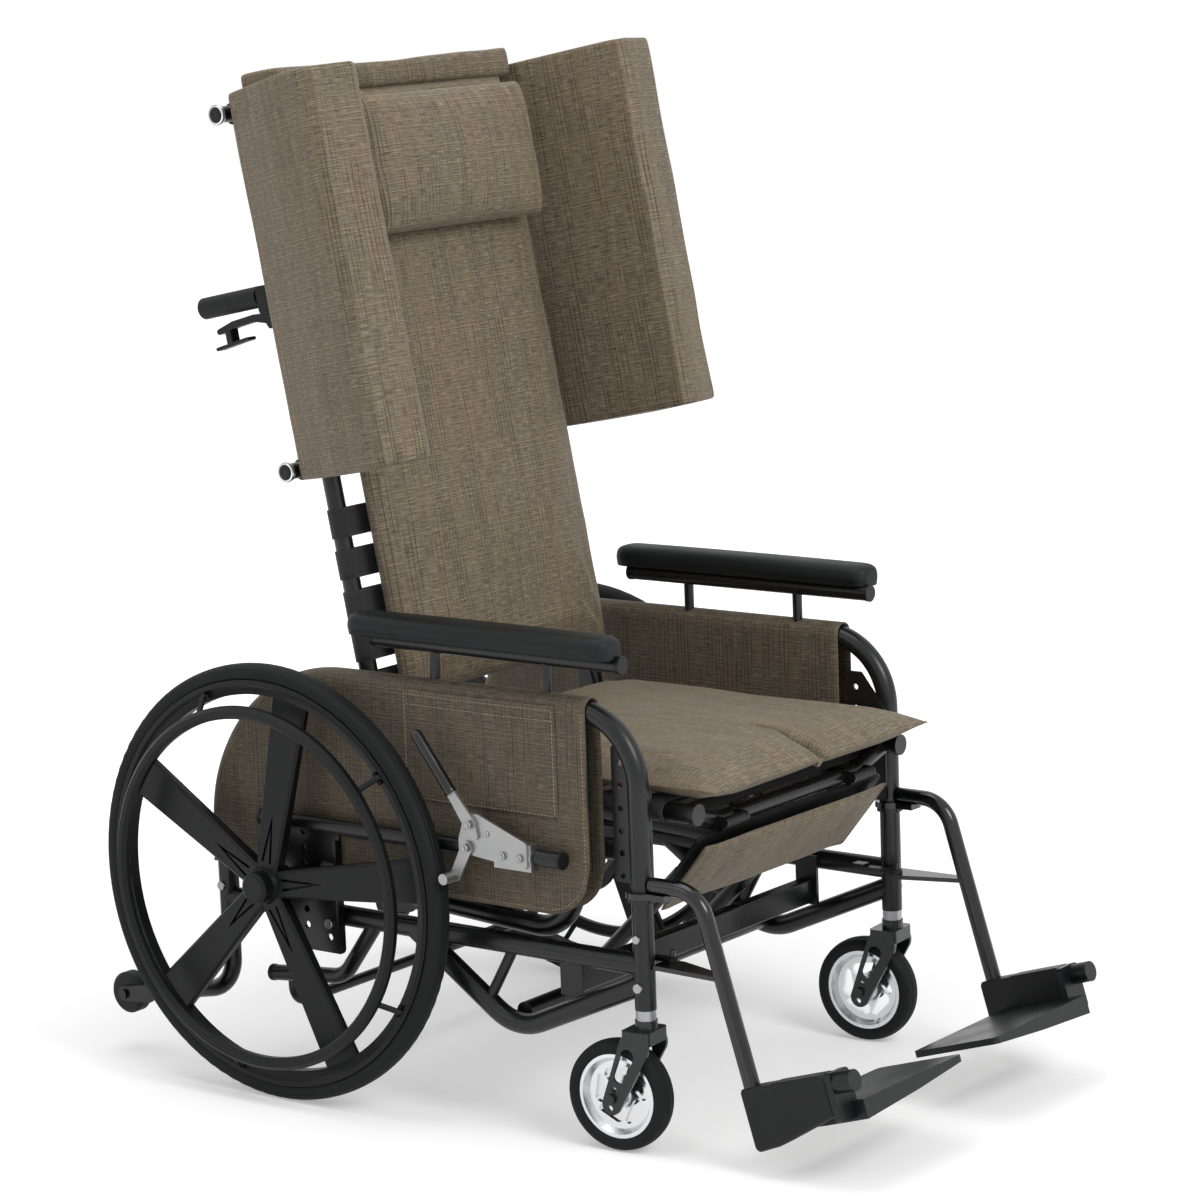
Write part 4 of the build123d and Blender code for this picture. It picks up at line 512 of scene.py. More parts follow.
CAST = metal("alloy_cast", srgb(158, 159, 158), 0.40, lay=(300, 300, 300))
CHROME = metal("rim_polished", srgb(222, 223, 226), 0.16, lay=(60, 900, 900))
WEBBING = webbing("webbing_black")
THREAD = Shader("thread_tan", srgb(158, 145, 120), 0.6).mat
SLEEVE = moulded("vinyl_sleeve", srgb(10, 11, 12), 0.24, grain=0.00004, scale=300.0, specular=0.5)



# ============================================================ stitching
STITCH_LENGTH = 3.8
STITCH_PITCH = 5.6
STITCH_HALF = 0.5


def stitches(name, path, place, body, normal):
    """Lays a row of raised stitches along a line of millimetre points."""
    path = np.asarray(path, float)
    steps = np.linalg.norm(np.diff(path, axis=0), axis=1)
    total = np.concatenate([[0], np.cumsum(steps)])
    normal = np.asarray(normal, float)
    points, faces = [], []
    for start in np.arange(STITCH_PITCH / 2, total[-1] - STITCH_LENGTH, STITCH_PITCH):
        first, last = (
            np.array([np.interp(at, total, path[:, k]) for k in range(3)])
            for at in (start, start + STITCH_LENGTH)
        )
        along = (last - first) / np.linalg.norm(last - first)
        side = np.cross(normal, along)
        side /= np.linalg.norm(side)
        base = len(points)
        for t, width, height in ((0, 0.4, 0.0), (0.2, 1.0, 0.55), (0.8, 1.0, 0.55), (1, 0.4, 0.0)):
            centre = first + (last - first) * t
            for out, up in ((-1, -0.2), (-0.5, height), (0.5, height), (1, -0.2)):
                lift = normal * up * STITCH_HALF * 1.3
                points.append(centre + side * out * width * STITCH_HALF + lift)
        faces += grid_faces(4, 4, start=base)
    return new_piece(name, points, faces, place, body, THREAD)


# ============================================================ padded pieces
SLIT_TIP = 2.0
SLIT_MOUTH = 7.5
SLIT_COLUMNS = (-4.5, -1.2, 0, 1.2, 4.5)
SLIT_LIP = 1.5
CLOTH_FRAMES = 20
# unevenness of a pad's upper face: over how far, and how much
PAD_UNEVEN = ((120, 1.2), (45, 0.36))


def toward_edges(count):
    """Even steps from -1 to 1, drawn closer together near the ends."""
    u = np.linspace(-1, 1, count)
    return np.sign(u) * (1 - (1 - np.abs(u)) ** 1.35)


def pad_points(half_x, ends, low, high, crown, edge, corner, cols=44, rows=64, soft=0.42, slit=0.0):
    """A closed pad: two faces that meet at a seam. x across, z along, y from low to high."""
    u = toward_edges(cols)
    if slit:
        u = np.sort(np.concatenate([u, np.array(SLIT_COLUMNS) / half_x]))
        cols = len(u)
    uu, vv = np.meshgrid(u, toward_edges(rows))
    middle = (low + high) / 2
    half = (high - low) / 2
    along = (ends[0] + ends[1]) / 2 + vv * (ends[1] - ends[0]) / 2
    fall = (np.clip(1 - np.abs(uu) ** edge, 0, 1) * np.clip(1 - np.abs(vv) ** corner, 0, 1)) ** soft
    dome = (1 - uu**2) * (1 - vv**2) * crown
    points = np.concatenate([
        np.stack([uu * half_x, y, along], -1).reshape(-1, 3)
        for y in (middle + half * fall + dome, middle - half * fall)
    ])
    faces = grid_faces(rows, cols)
    faces += [tuple(reversed(f)) for f in grid_faces(rows, cols, start=rows * cols)]
    return points, faces


def simulate(obj, pressure, cap):
    """Puffs a closed piece with cloth under pressure, then caps how far each point has moved."""
    scene = bpy.context.scene
    start = coordinates(obj.data)
    cloth = obj.modifiers.new("cloth", "CLOTH")
    for setting, value in (
        ("quality", 5),
        ("mass", 0.3),
        ("tension_stiffness", 12),
        ("compression_stiffness", 9),
        ("bending_stiffness", 0.4),
        ("use_pressure", True),
        ("uniform_pressure_force", pressure),
        ("vertex_group_mass", "seam"),
        ("pin_stiffness", 1.0),
    ):
        setattr(cloth.settings, setting, value)
    cloth.settings.effector_weights.gravity = 0
    cloth.collision_settings.use_collision = False
    for step in range(CLOTH_FRAMES):
        scene.frame_set(step + 1)
    moved = obj.evaluated_get(bpy.context.evaluated_depsgraph_get()).data
    shift = coordinates(moved) - start
    length = np.linalg.norm(shift, axis=1, keepdims=True)
    shift *= np.minimum(1, cap / 1000 / np.maximum(length, 1e-9))
    obj.modifiers.remove(cloth)
    move_to(obj, start + shift)
    scene.frame_set(1)


def keep_beyond(obj, place, limit, clip=np.maximum):
    """Holds a piece to one side of what it rests on, along the frame's y."""
    local = measured(obj.data, place)
    local[:, 1] = clip(local[:, 1], limit)
    move_to(obj, placed(local, place))


def open_slit(now, before, shape):
    """A cut in from the middle of a pad's front edge, wider at its mouth, with lips turned down."""
    into = np.clip(1 - (before[:, 2] - shape["ends"][0]) / shape["slit"], 0, 1)
    reach = SLIT_TIP + (SLIT_MOUTH - SLIT_TIP) * into
    near = np.clip((reach - np.abs(before[:, 0])) / SLIT_LIP, 0, 1)
    upper = before[:, 1] > (shape["low"] + shape["high"]) / 2
    fall = (now[:, 1] - shape["low"] - 1) * np.sqrt(into) * near
    now[:, 1] -= np.where(upper, fall * 0.92, 0)
    now[:, 2] += near * into**6 * 9


def cushion(name, place, body, node, shape, pressure, cap, seed):
    """A sewn pad: a crowned closed form, puffed by simulation and slightly uneven."""
    points, faces = pad_points(**shape)
    obj = outward(new_piece(name, points, faces, place, body, FABRIC))
    before = measured(obj.data, place)
    on_side = np.abs(np.abs(before[:, 0]) - shape["half_x"]) < 1
    on_end = np.abs(before[:, 2:] - np.array(shape["ends"])).min(1) < 1
    seam = obj.vertex_groups.new(name="seam")
    seam.add(np.flatnonzero(on_side | on_end).tolist(), 0.9, "REPLACE")
    simulate(obj, pressure, cap)
    local = measured(obj.data, place)
    upper = local[:, 1] > (shape["low"] + shape["high"]) / 2
    for more, (size, height) in enumerate(PAD_UNEVEN):
        local[:, 1] += np.where(upper, soft_noise(local, size, seed + more) * height, 0)
    if shape.get("slit"):
        open_slit(local, before, shape)
    move_to(obj, placed(local, place))
    keep_beyond(obj, place, shape["low"])
    map_cloth(obj, place)
    subdivide(obj)
    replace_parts(obj, node)
    return obj


SEAT_TOP = SEAT_RAIL_Z + RAIL_R + STRAP_GAP + STRAP_T + 0.3
cushion(
    "seat_cushion_cover", SEAT, "seat", "seat_cushion",
    dict(
        half_x=254, ends=(-680, -130), low=SEAT_TOP, high=SEAT_TOP + 38, crown=8,
        edge=11, corner=16, soft=0.62, slit=125,
    ),
    pressure=2.2, cap=8, seed=3,
)
back_pad = cushion(
    "back_pad_cover", BACK, "back", "back_pad",
    dict(
        half_x=224, ends=(93, 931), low=15.2, high=74, crown=8,
        edge=14, corner=26, cols=46, rows=84,
    ),
    pressure=2.0, cap=6, seed=8,
)
# the pillow slides down over the pad, so the pad's crown stays below the pillow's back
keep_beyond(back_pad, BACK, PILLOW_BACK - PILLOW_GAP, np.minimum)
cushion(
    "head_pillow_cover", BACK, "head_pillow", "head_pillow",
    dict(
        half_x=176, ends=(718, 910), low=PILLOW_BACK, high=140, crown=8,
        edge=14, corner=5, cols=52, rows=34,
    ),
    pressure=3.0, cap=8, seed=14,
)
cushion(
    "calf_pad_cover", CALF, "calf_rest", "calf_pad",
    dict(
        half_x=214, ends=(-CALF_LENGTH - 3, -20), low=3.3, high=25, crown=5,
        edge=16, corner=7, cols=44, rows=26,
    ),
    pressure=2.5, cap=6, seed=21,
)


SLEEVE_HALF_X = 252.5
SLEEVE_MIDDLE = 18.0
SLEEVE_END = 0.045


def head_sleeve():
    """The flat cover sewn round the top of the back: a padded band over the tube ends."""
    low, top = BACK_LENGTH - 19.4, BACK_LENGTH + 21.5
    profile = [
        (-20.5, low), (-20.8, top - 9), (-19.6, top - 3), (-14, top - 0.4),
        (20, top), (49, top - 1.2), (54.5, top - 3.5), (57, top - 9),
        (56.5, low + 7), (54, low + 0.8), (30, low), (5, low),
    ]
    cols = 60
    points = []
    for c in range(cols):
        u = -1 + 2 * c / (cols - 1)
        end = max(0.0, (abs(u) - 1 + SLEEVE_END) / SLEEVE_END)
        thin = 1 - 0.30 * end**2
        for k, (out, up) in enumerate(profile):
            sway = 1.6 * math.sin(u * 7.0 + k) + 0.9 * math.sin(u * 17.0 + 2 * k)
            lift = sway * 0.5 - 2.2 * math.cos(u * 2.6 + 0.4) if up > low + 10 else 0.0
            y = SLEEVE_MIDDLE + (out - SLEEVE_MIDDLE) * thin
            points.append((SLEEVE_HALF_X * u, y, up + lift))
    faces = capped_faces(cols, len(profile))
    obj = outward(new_piece("head_sleeve_cover", points, faces, BACK, "back", FABRIC))
    map_cloth(obj, BACK)
    subdivide(obj, 2)
    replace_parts(obj, "back_pad")


head_sleeve()


# ============================================================ wings
WING_ENDS = ((0, 0.955), (1.5, 0.980), (4, 0.994), (9, 1.0), (20, 1.0))
WING_CORNER = 4
CLAMP_R = (11.1, 15.0)
RING_STEPS = 40
TUBE_END_RING = (
    (0.3, 9.0), (0.3, 12.8), (1.4, 13.9), (4.8, 13.9), (6.4, 12.6), (6.9, 11.2), (6.2, 9.0),
)
TUBE_END_DISC = ((6.0, 11.3), (7.2, 10.9), (8.1, 9.4), (8.5, 5.0), (8.6, 0.01), (6.0, 0.01))


def rounded_section(points, radius, steps=5):
    """A closed line round a polygon with rounded corners, evenly divided."""
    points = [np.array(p, float) for p in points]
    count = len(points)
    arcs = []
    for i in range(count):
        a, b, c = points[i - 1], points[i], points[(i + 1) % count]
        long_a, long_c = np.linalg.norm(a - b), np.linalg.norm(c - b)
        to_a, to_c = (a - b) / long_a, (c - b) / long_c
        half = math.acos(np.clip(to_a @ to_c, -1, 1)) / 2
        cut = min(radius / math.tan(half), 0.45 * long_a, 0.45 * long_c)
        start, end = b + to_a * cut, b + to_c * cut
        arcs.append([
            (1 - t) ** 2 * start + 2 * t * (1 - t) * b + t**2 * end
            for t in np.linspace(0, 1, steps)
        ])
    line = []
    for i, arc in enumerate(arcs):
        ahead = arcs[(i + 1) % count][0]
        line += arc + [arc[-1] * (1 - t) + ahead * t for t in np.linspace(0, 1, steps + 2)[1:-1]]
    return np.array(line)


def wing(side, suffix):
    """A firm foam wing in a tight cover, with rounded ends and a seam up its closing flap."""
    section = rounded_section(WING_SECTION, WING_CORNER)
    middle = section.mean(0)
    levels = [(WING_AT[0] + t, draw) for t, draw in WING_ENDS]
    levels += [(z, 1.0) for z in np.linspace(WING_AT[0] + 40, WING_AT[1] - 40, 26)]
    levels += [(WING_AT[1] - t, draw) for t, draw in reversed(WING_ENDS)]
    cols = len(section)
    rings = []
    for z, draw in levels:
        ring = middle + (section - middle) * draw
        rings.append(np.stack([ring[:, 0] * side, ring[:, 1], np.full(cols, z)], 1))
    points = np.concatenate(rings)
    puff = soft_noise(points, 150, 31 + side) * 1.2 + soft_noise(points, 55, 37 + side) * 0.35
    away = points - np.array([middle[0] * side, middle[1], 0])
    away[:, 2] = 0
    away /= np.linalg.norm(away, axis=1, keepdims=True)
    points = points + away * puff[:, None]
    faces = grid_faces(len(levels), cols, wrap_cols=True)
    for first, rise in ((0, -1), ((len(levels) - 1) * cols, 1)):
        ring = points[first : first + cols]
        base = len(points)
        inner = [
            ring.mean(0) + (ring - ring.mean(0)) * shrink + np.array([0, 0, rise * lift])
            for shrink, lift in ((0.6, 1.5), (0.25, 2.5))
        ]
        points = np.concatenate([points, *inner])
        for k in range(cols):
            n = (k + 1) % cols
            faces.append((first + k, first + n, base + n, base + k))
            faces.append((base + k, base + n, base + cols + n, base + cols + k))
        faces.append(tuple(base + cols + k for k in range(cols)))
    body = "wing" + suffix
    obj = outward(new_piece("wing_cover" + suffix, points, faces, BACK, body, FABRIC))
    map_cloth(obj, BACK)
    subdivide(obj)
    wing_seam(side, suffix)
    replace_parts(obj, body)


def wing_seam(side, suffix):
    """Two rows of stitches up the closing flap at the wing's rear outer edge."""
    rear, fold = (np.array(p, float) for p in WING_SECTION[1:3])
    along = (fold - rear) / np.linalg.norm(fold - rear)
    out = np.array([along[1], -along[0]])
    for row, inset in enumerate((9.0, 21.0)):
        x, y = rear + along * inset + out * 1.5
        path = [(side * x, y, z) for z in np.linspace(WING_AT[0] + 14, WING_AT[1] - 76, 60)]
        name = "wing_seam_%d%s" % (row, suffix)
        stitches(name, path, BACK, "wing" + suffix, (side * out[0], out[1], 0))


def wing_tube_ring(name, at, profile, body, mat, boss=0.0):
    """A closed (across, radius) profile turned round a wing tube, with a screw boss if asked."""
    points = []
    for a in turn_angles(RING_STEPS):
        grow = 1 + boss * max(0.0, math.cos(a - 0.5)) ** 12
        for x, r in profile:
            reach = r * grow if r > CLAMP_R[0] + 1 else r
            points.append((x, reach * math.cos(a) - WING_TUBE_BEHIND, at + reach * math.sin(a)))
    faces = grid_faces(RING_STEPS, len(profile), wrap_rows=True, wrap_cols=True)
    outward(new_piece(name, points, faces, BACK, body, mat))


def ring_clamp(side, suffix, number, at):
    """A split clamp ring round a cross tube, with its screw boss."""
    inner, outer = CLAMP_R
    half = (WING_CLAMP_X[1] - WING_CLAMP_X[0]) / 2
    middle = side * (WING_CLAMP_X[0] + WING_CLAMP_X[1]) / 2
    profile = [
        (middle + x, r)
        for x, r in (
            (-half + 1, outer), (half - 1, outer), (half, outer - 1),
            (half, inner), (-half, inner), (-half, outer - 1),
        )
    ]
    name = "wing_clamp_%d%s" % (number, suffix)
    wing_tube_ring(name, at, profile, "wing" + suffix, PLASTIC, boss=0.22)


def tube_end(side, suffix, number, at):
    """A black disc in a bright ring, pressed into the end of a wing tube."""
    for label, profile, mat, slot in (
        ("ring", TUBE_END_RING, CHROME, "chrome"),
        ("disc", TUBE_END_DISC, PLASTIC, "plastic"),
    ):
        name = "wing_tube_end_%d%s_%s" % (number, suffix, label)
        profile = [(side * (WING_TUBE_END + x), r) for x, r in profile]
        wing_tube_ring(name, at, profile, "back", mat)


for side, suffix in SIDES:
    for number, at in enumerate(WING_TUBE_AT):
        tube_end(side, suffix, number, at)
for side, suffix in SIDES:
    wing(side, suffix)
    for number, at in enumerate(WING_TUBE_AT):
        ring_clamp(side, suffix, number, at)


# ============================================================ side panels
PANEL_REACH = TUBE_R + 0.3 + PANEL_T / 2
PANEL_HEM = 6.0
POCKET_T = 1.4


def panel_line(count):
    """Points along the arm rail and its rear bend, each with the way out of the bend."""
    centre = (REAR_LEG_Y - REAR_BEND_R, RAIL_Z - REAR_BEND_R)
    straight = centre[0] - PANEL_FRONT_Y
    arc = REAR_BEND_R * math.pi / 2
    rows = []
    for s in np.linspace(0, straight + arc, count):
        if s <= straight:
            rows.append((PANEL_FRONT_Y + s, RAIL_Z, 0.0, 1.0))
        else:
            a = (s - straight) / REAR_BEND_R
            out_y, out_z = math.sin(a), math.cos(a)
            y, z = centre[0] + REAR_BEND_R * out_y, centre[1] + REAR_BEND_R * out_z
            rows.append((y, z, out_y, out_z))
    return rows


def low_edge(y):
    """The panel's lower edge, with its rounded front corner."""
    back_from_front = y - PANEL_FRONT_Y
    if back_from_front >= PANEL_CORNER_R:
        return PANEL_LOW_Z
    rest = PANEL_CORNER_R - back_from_front
    return PANEL_LOW_Z + PANEL_CORNER_R - math.sqrt(max(0.0, PANEL_CORNER_R**2 - rest**2))


def side_panel(side, suffix):
    """A cloth panel hung over the arm rail: outer face, turn over the rail, inner face."""
    lines = panel_line(96)
    down, over = 26, 9
    cols = down + over + down
    points = np.zeros((len(lines), cols, 3))
    uv = np.zeros((len(lines), cols, 2))
    reach = PANEL_REACH
    for i, (y, z, out_y, out_z) in enumerate(lines):
        low_y = y
        if out_z < 0.999:
            low_y += 10 * (y - PANEL_FRONT_Y) / (REAR_LEG_Y - PANEL_FRONT_Y)
        for j in range(cols):
            if down <= j < down + over:
                a = math.pi * (j - down) / (over - 1)
                px = reach * math.cos(a)
                py = y + reach * math.sin(a) * out_y
                pz = z + reach * math.sin(a) * out_z
                v = RAIL_Z + reach * a
            else:
                outside = j < down
                q = 1 - j / down if outside else (j - down - over + 1) / down
                px = reach if outside else -reach
                py = y + (low_y - y) * q
                pz = z + (low_edge(py) - z) * q
                v = pz if outside else RAIL_Z + reach * math.pi + (RAIL_Z - pz)
            points[i, j] = (px, py, pz)
            uv[i, j] = (py, v)
    flat = points.reshape(-1, 3)
    wave = soft_noise(flat * np.array([0.2, 1, 1]), 190, 51 + side) * 1.6
    wave += soft_noise(flat * np.array([0.2, 1, 0.35]), 70, 57 + side) * 0.6
    free = np.clip((RAIL_Z - 8 - flat[:, 2]) / 60, 0, 1)
    flat[:, 0] += np.sign(flat[:, 0]) * np.abs(wave) * free * 0.7
    flat[:, 0] = side * (flat[:, 0] + SIDE_X)
    faces = grid_faces(len(lines), cols)
    # the panel takes the darkened copy of the cloth: painted shade
    obj = new_piece("side_panel" + suffix, flat, faces, WORLD, "frame", FABRIC_PAINTED_SHADE)
    lay_weave(obj, uv.reshape(-1, 2) / 1000)
    thicken(obj, PANEL_T)
    along = REAR_LEG_Y - REAR_BEND_R - PANEL_FRONT_Y + REAR_BEND_R * math.pi / 2
    drop = 2 * (RAIL_Z - PANEL_LOW_Z) + math.pi * reach
    area = sum(face.area for face in obj.data.polygons)
    return obj, (along / 1000, drop / 1000), area


def pocket(side, suffix):
    """The patch pocket on the outer face, open at the top, with its hem turned and sewn twice."""
    face_x = SIDE_X + PANEL_REACH + PANEL_T / 2
    cols, rows = 44, 26
    front, rear = POCKET_Y
    low, top = POCKET_Z
    points = []
    for r in range(rows):
        v = r / (rows - 1)
        for c, y in enumerate(np.linspace(front, rear, cols)):
            u = c / (cols - 1)
            slant = 10 * max(0.0, (u - 0.9) / 0.1)
            z = low + slant * (1 - v) + (top - low) * v
            edge = min(1.0, 14 * u, 14 * (1 - u), 10 * v)
            belly = 2.2 * math.sin(math.pi * u) * (0.35 + 0.65 * v)
            mouth = 1.6 * math.sin(math.pi * u) ** 2 * max(0.0, (v - 0.7) / 0.3)
            wave = 0.8 * math.sin(u * 9.3 + 2 * v) * edge
            points.append((side * (face_x + 1.2 + edge * (belly + mouth + wave + 0.6)), y, z))
    faces = grid_faces(rows, cols)
    # the pocket takes the darkened copy of the cloth: painted shade
    obj = new_piece("side_pocket" + suffix, points, faces, WORLD, "frame", FABRIC_PAINTED_SHADE)
    map_cloth(obj, WORLD)
    thicken(obj, POCKET_T)
    # each row of stitches: how far off the face, its bulge, from y to y, from z to z
    rows_sewn = (
        ("hem_0", 2.6, 3.9, front + 3, rear - 3, top - 6, top - 6),
        ("hem_1", 2.6, 3.9, front + 3, rear - 3, top - 20, top - 20),
        ("side_0", 3.2, 0.0, front + 4, front + 4, low + 3, top - 2),
        ("side_1", 3.2, 0.0, rear - 4, rear - 4, low + 12, top - 2),
        ("side_2", 3.2, 0.0, front + 4, rear - 24, low + 4, low + 4),
    )
    sewn = []
    for name, off, bulge, y_a, y_b, z_a, z_b in rows_sewn:
        path = []
        for t in np.linspace(0, 1, 30):
            x = side * (face_x + off + bulge * math.sin(math.pi * t))
            path.append((x, y_a + (y_b - y_a) * t, z_a + (z_b - z_a) * t))
        sewn.append(stitches("pocket_%s%s" % (name, suffix), path, WORLD, "frame", (side, 0, 0)))
    return obj, sewn


def panel_hem(side, suffix):
    """The stitched border down the panel's front edge and round its lower corner."""
    x = side * (SIDE_X + PANEL_REACH + PANEL_T / 2 + 1.0)
    cy, cz = PANEL_FRONT_Y + PANEL_CORNER_R, PANEL_LOW_Z + PANEL_CORNER_R
    r = PANEL_CORNER_R - PANEL_HEM
    path = [(x, PANEL_FRONT_Y + PANEL_HEM, z) for z in np.linspace(RAIL_Z - 4, cz, 24)]
    for a in np.linspace(0, math.pi / 2, 16)[1:]:
        path.append((x, cy - r * math.cos(a), cz - r * math.sin(a)))
    path += [(x, y, PANEL_LOW_Z + PANEL_HEM) for y in np.linspace(cy + 5, REAR_LEG_Y - 10, 60)]
    return stitches("panel_hem" + suffix, path, WORLD, "frame", (side, 0, 0))


for side, suffix in SIDES:
    panel, cut, area = side_panel(side, suffix)
    patch, sewn = pocket(side, suffix)
    hem = panel_hem(side, suffix)
    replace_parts(panel, "side_panels")


# ============================================================ straps
def strap_path(half, radius):
    """A closed line round two tubes, in a plane: runs above and below, and half turns."""
    r = radius + STRAP_GAP + STRAP_T / 2
    line = []
    for turn in (1, -1):
        for t in np.linspace(-1, 1, 44, endpoint=False):
            line.append((turn * t * half, turn * r))
        for a in np.linspace(math.pi / 2, -math.pi / 2, 15, endpoint=False):
            line.append((turn * (half + r * math.cos(a)), turn * r * math.sin(a)))
    return np.array(line)


def strap_loops(name, body, node, place, centres, half, slack):
    """Webbing loops, each slightly slack between its tubes: x across, h off them, z along them."""
    base = strap_path(half, RAIL_R)
    delta = np.roll(base, -1, 0) - np.roll(base, 1, 0)
    normal = np.stack([-delta[:, 1], delta[:, 0]], 1)
    normal /= np.linalg.norm(normal, axis=1, keepdims=True)
    run = np.concatenate([[0], np.cumsum(np.linalg.norm(np.diff(base, axis=0), axis=1))])
    across = (-1, -0.6, 0, 0.6, 1)
    section = [(w, -1) for w in across] + [(w, 1) for w in reversed(across)]
    points, faces, uv = [], [], []
    for number, centre in enumerate(centres):
        sag = slack * (0.7 + 0.3 * math.sin(number * 2.1))
        start = len(points)
        for k, (x, h) in enumerate(base):
            inside = max(0.0, 1 - (abs(x) / half) ** 2)
            drop = sag * inside * (1.0 if h < 0 else 0.8)
            for w, t in section:
                off = t * STRAP_T / 2 * 0.96
                ripple = 0.25 * math.sin(x / 17 + w * 2 + number) * inside
                height = h + normal[k, 1] * off - drop + ripple
                points.append((x + normal[k, 0] * off, height, centre + w * STRAP_W / 2))
                uv.append((run[k] / 1000, w * STRAP_W / 2000))
        faces += grid_faces(len(base), len(section), wrap_rows=True, wrap_cols=True, start=start)
    obj = new_piece(name, points, faces, place, body, WEBBING)
    lay_weave(obj, uv)
    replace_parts(obj, node)


strap_loops("seat_webbing", "seat", "seat_straps", SEAT_STRAPS, SEAT_STRAP_Y, SEAT_X, 4.0)
# no strap where the push handle or a wing's tube crosses
HANDLE_CLEAR = 32
WING_TUBE_CLEAR = 30
back_at = [
    at
    for at in BACK_STRAP_AT
    if abs(at - HANDLE_AT) >= HANDLE_CLEAR
    and min(abs(at - tube) for tube in WING_TUBE_AT) >= WING_TUBE_CLEAR
]
strap_loops("back_webbing", "back", "back_straps", BACK, back_at, BACK_X, 3.0)


# ============================================================ arm pads
PAD_SECTION = [
    (0, 30.6), (8, 30.5), (15, 29.8), (21, 27.6), (25.2, 23.6), (27.4, 18.4), (27.9, 13.4),
    (27.2, 9.4), (25.8, 7.2), (25.4, 4.0), (24.6, 1.2), (22.4, 0.2), (16, 0.0), (12.6, 0.2),
    (8.0, 0.3), (4.0, 0.4), (0, 0.4),
]
PAD_END = 24.0
PAD_SKIRT = 5


def pad_groove(x):
    """How far the arm tube's top reaches above the pad's underside."""
    reach = (ARM_TUBE_R + 1.2) ** 2 - (x + PAD_OFFSET) ** 2
    return math.sqrt(max(0.0, reach)) - ARM_TUBE_R + PAD_SINK


def arm_pad(side):
    """A moulded pad on the arm tube: a crowned top over a thinner, drawn-in skirt."""
    low = ARM_Z + ARM_TUBE_R - PAD_SINK
    ring = PAD_SECTION + [(-x, z) for x, z in reversed(PAD_SECTION[1:-1])]
    steps = list(np.linspace(0, 1, 9) ** 1.8 * 0.055) + list(np.linspace(0.09, 0.91, 24))
    steps += list(1 - (np.linspace(1, 0, 9) ** 1.8) * 0.055)
    length = PAD_Y[1] - PAD_Y[0]
    points = []
    for t in steps:
        past = max(0.0, 1 - min(t, 1 - t) * length / PAD_END)
        narrow = math.sqrt(max(0.0, 1 - past**2)) * 0.62 + 0.38
        flat = 0.70 + 0.30 * math.sqrt(max(0.0, 1 - past**2.4))
        rise = 1.2 * math.sin(math.pi * t)
        for x, z in ring:
            z = max(z, pad_groove(x))
            if z >= PAD_SKIRT:
                z = PAD_SKIRT + (z - PAD_SKIRT) * flat + rise * (z / 30)
            x = side * (x * narrow + (ARM_X + PAD_OFFSET))
            points.append((x, PAD_Y[0] + t * length, low + z))
    return points, capped_faces(len(steps), len(ring))


pad_places, pad_faces = [], []
for side, suffix in SIDES:
    points, faces = arm_pad(side)
    pad_faces += [tuple(i + len(pad_places) for i in face) for face in faces]
    pad_places += points
arm_pads = outward(
    new_piece("arm_pad_covers", pad_places, pad_faces, WORLD, "frame", SOFT_PAD)
)
subdivide(arm_pads)
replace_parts(arm_pads, "arm_pads")


# ============================================================ tyres
def turned(name, profile, count, centre, turn, body, node, depth=None):
    """A tyre turned about its axle from a closed profile of (across, radius)."""
    points = []
    for i, a in enumerate(turn_angles(count)):
        for x, r in profile:
            r -= depth(i, x, r) if depth else 0.0
            local = Vector((x, r * math.cos(a), r * math.sin(a)))
            local.rotate(Matrix.Rotation(turn, 3, "Z"))
            points.append([c + d for c, d in zip(centre, local)])
    faces = grid_faces(count, len(profile), wrap_rows=True, wrap_cols=True)
    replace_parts(outward(new_piece(name, points, faces, WORLD, body, TYRE)), node)


def tyre_profile(width, inner, outer, crown=2.6):
    """Side wall, shoulder and tread with two running grooves."""
    w = width / 2
    tread = w - 6.6
    line = [
        (w - 2.4, inner), (w - 0.9, inner + 2.2), (w - 0.2, inner + 6.0),
        (w, inner + 9.0), (w - 0.3, outer - 7.6), (w - 1.3, outer - 5.0),
        (w - 3.4, outer - 2.9), (w - 5.6, outer - 1.7),
    ]
    for x in np.linspace(tread, 0, 9):
        groove = 1.1 if abs(x - tread * 0.5) < 0.9 else 0.0
        line.append((x, outer - crown * 0.4 * (x / tread) ** 2 - groove))
    return line + [(-x, r) for x, r in reversed(line[:-1])]


def tread_cut(i, x, r):
    """The rear tyre's shoulder blocks: two steps in four are cut down."""
    shoulder = TYRE_W / 2 - 6.8 < abs(x) < TYRE_W / 2 - 2.8
    return 0.9 if shoulder and i % 4 < 2 and r > WHEEL_R - 5 else 0.0


for side, suffix in SIDES:
    turned(
        "rear_tyre_tread" + suffix, tyre_profile(TYRE_W, WHEEL_R - TYRE_DEPTH, WHEEL_R), 360,
        (side * WHEEL_X, 0, WHEEL_R), 0.0, "rear_wheel" + suffix, "rear_tyre" + suffix, tread_cut,
    )
    hub = Vector((0, CASTER_TRAIL, 0))
    hub.rotate(Matrix.Rotation(CASTER_TURN, 3, "Z"))
    profile = tyre_profile(CASTER_W, CASTER_RIM_R + 0.2, CASTER_R, crown=4.0)
    turned(
        "caster_tread" + suffix, profile, 120,
        (side * SIDE_X + hub.x, POST_Y + hub.y, CASTER_R), CASTER_TURN,
        "caster_wheel" + suffix, "caster_tyre" + suffix,
    )


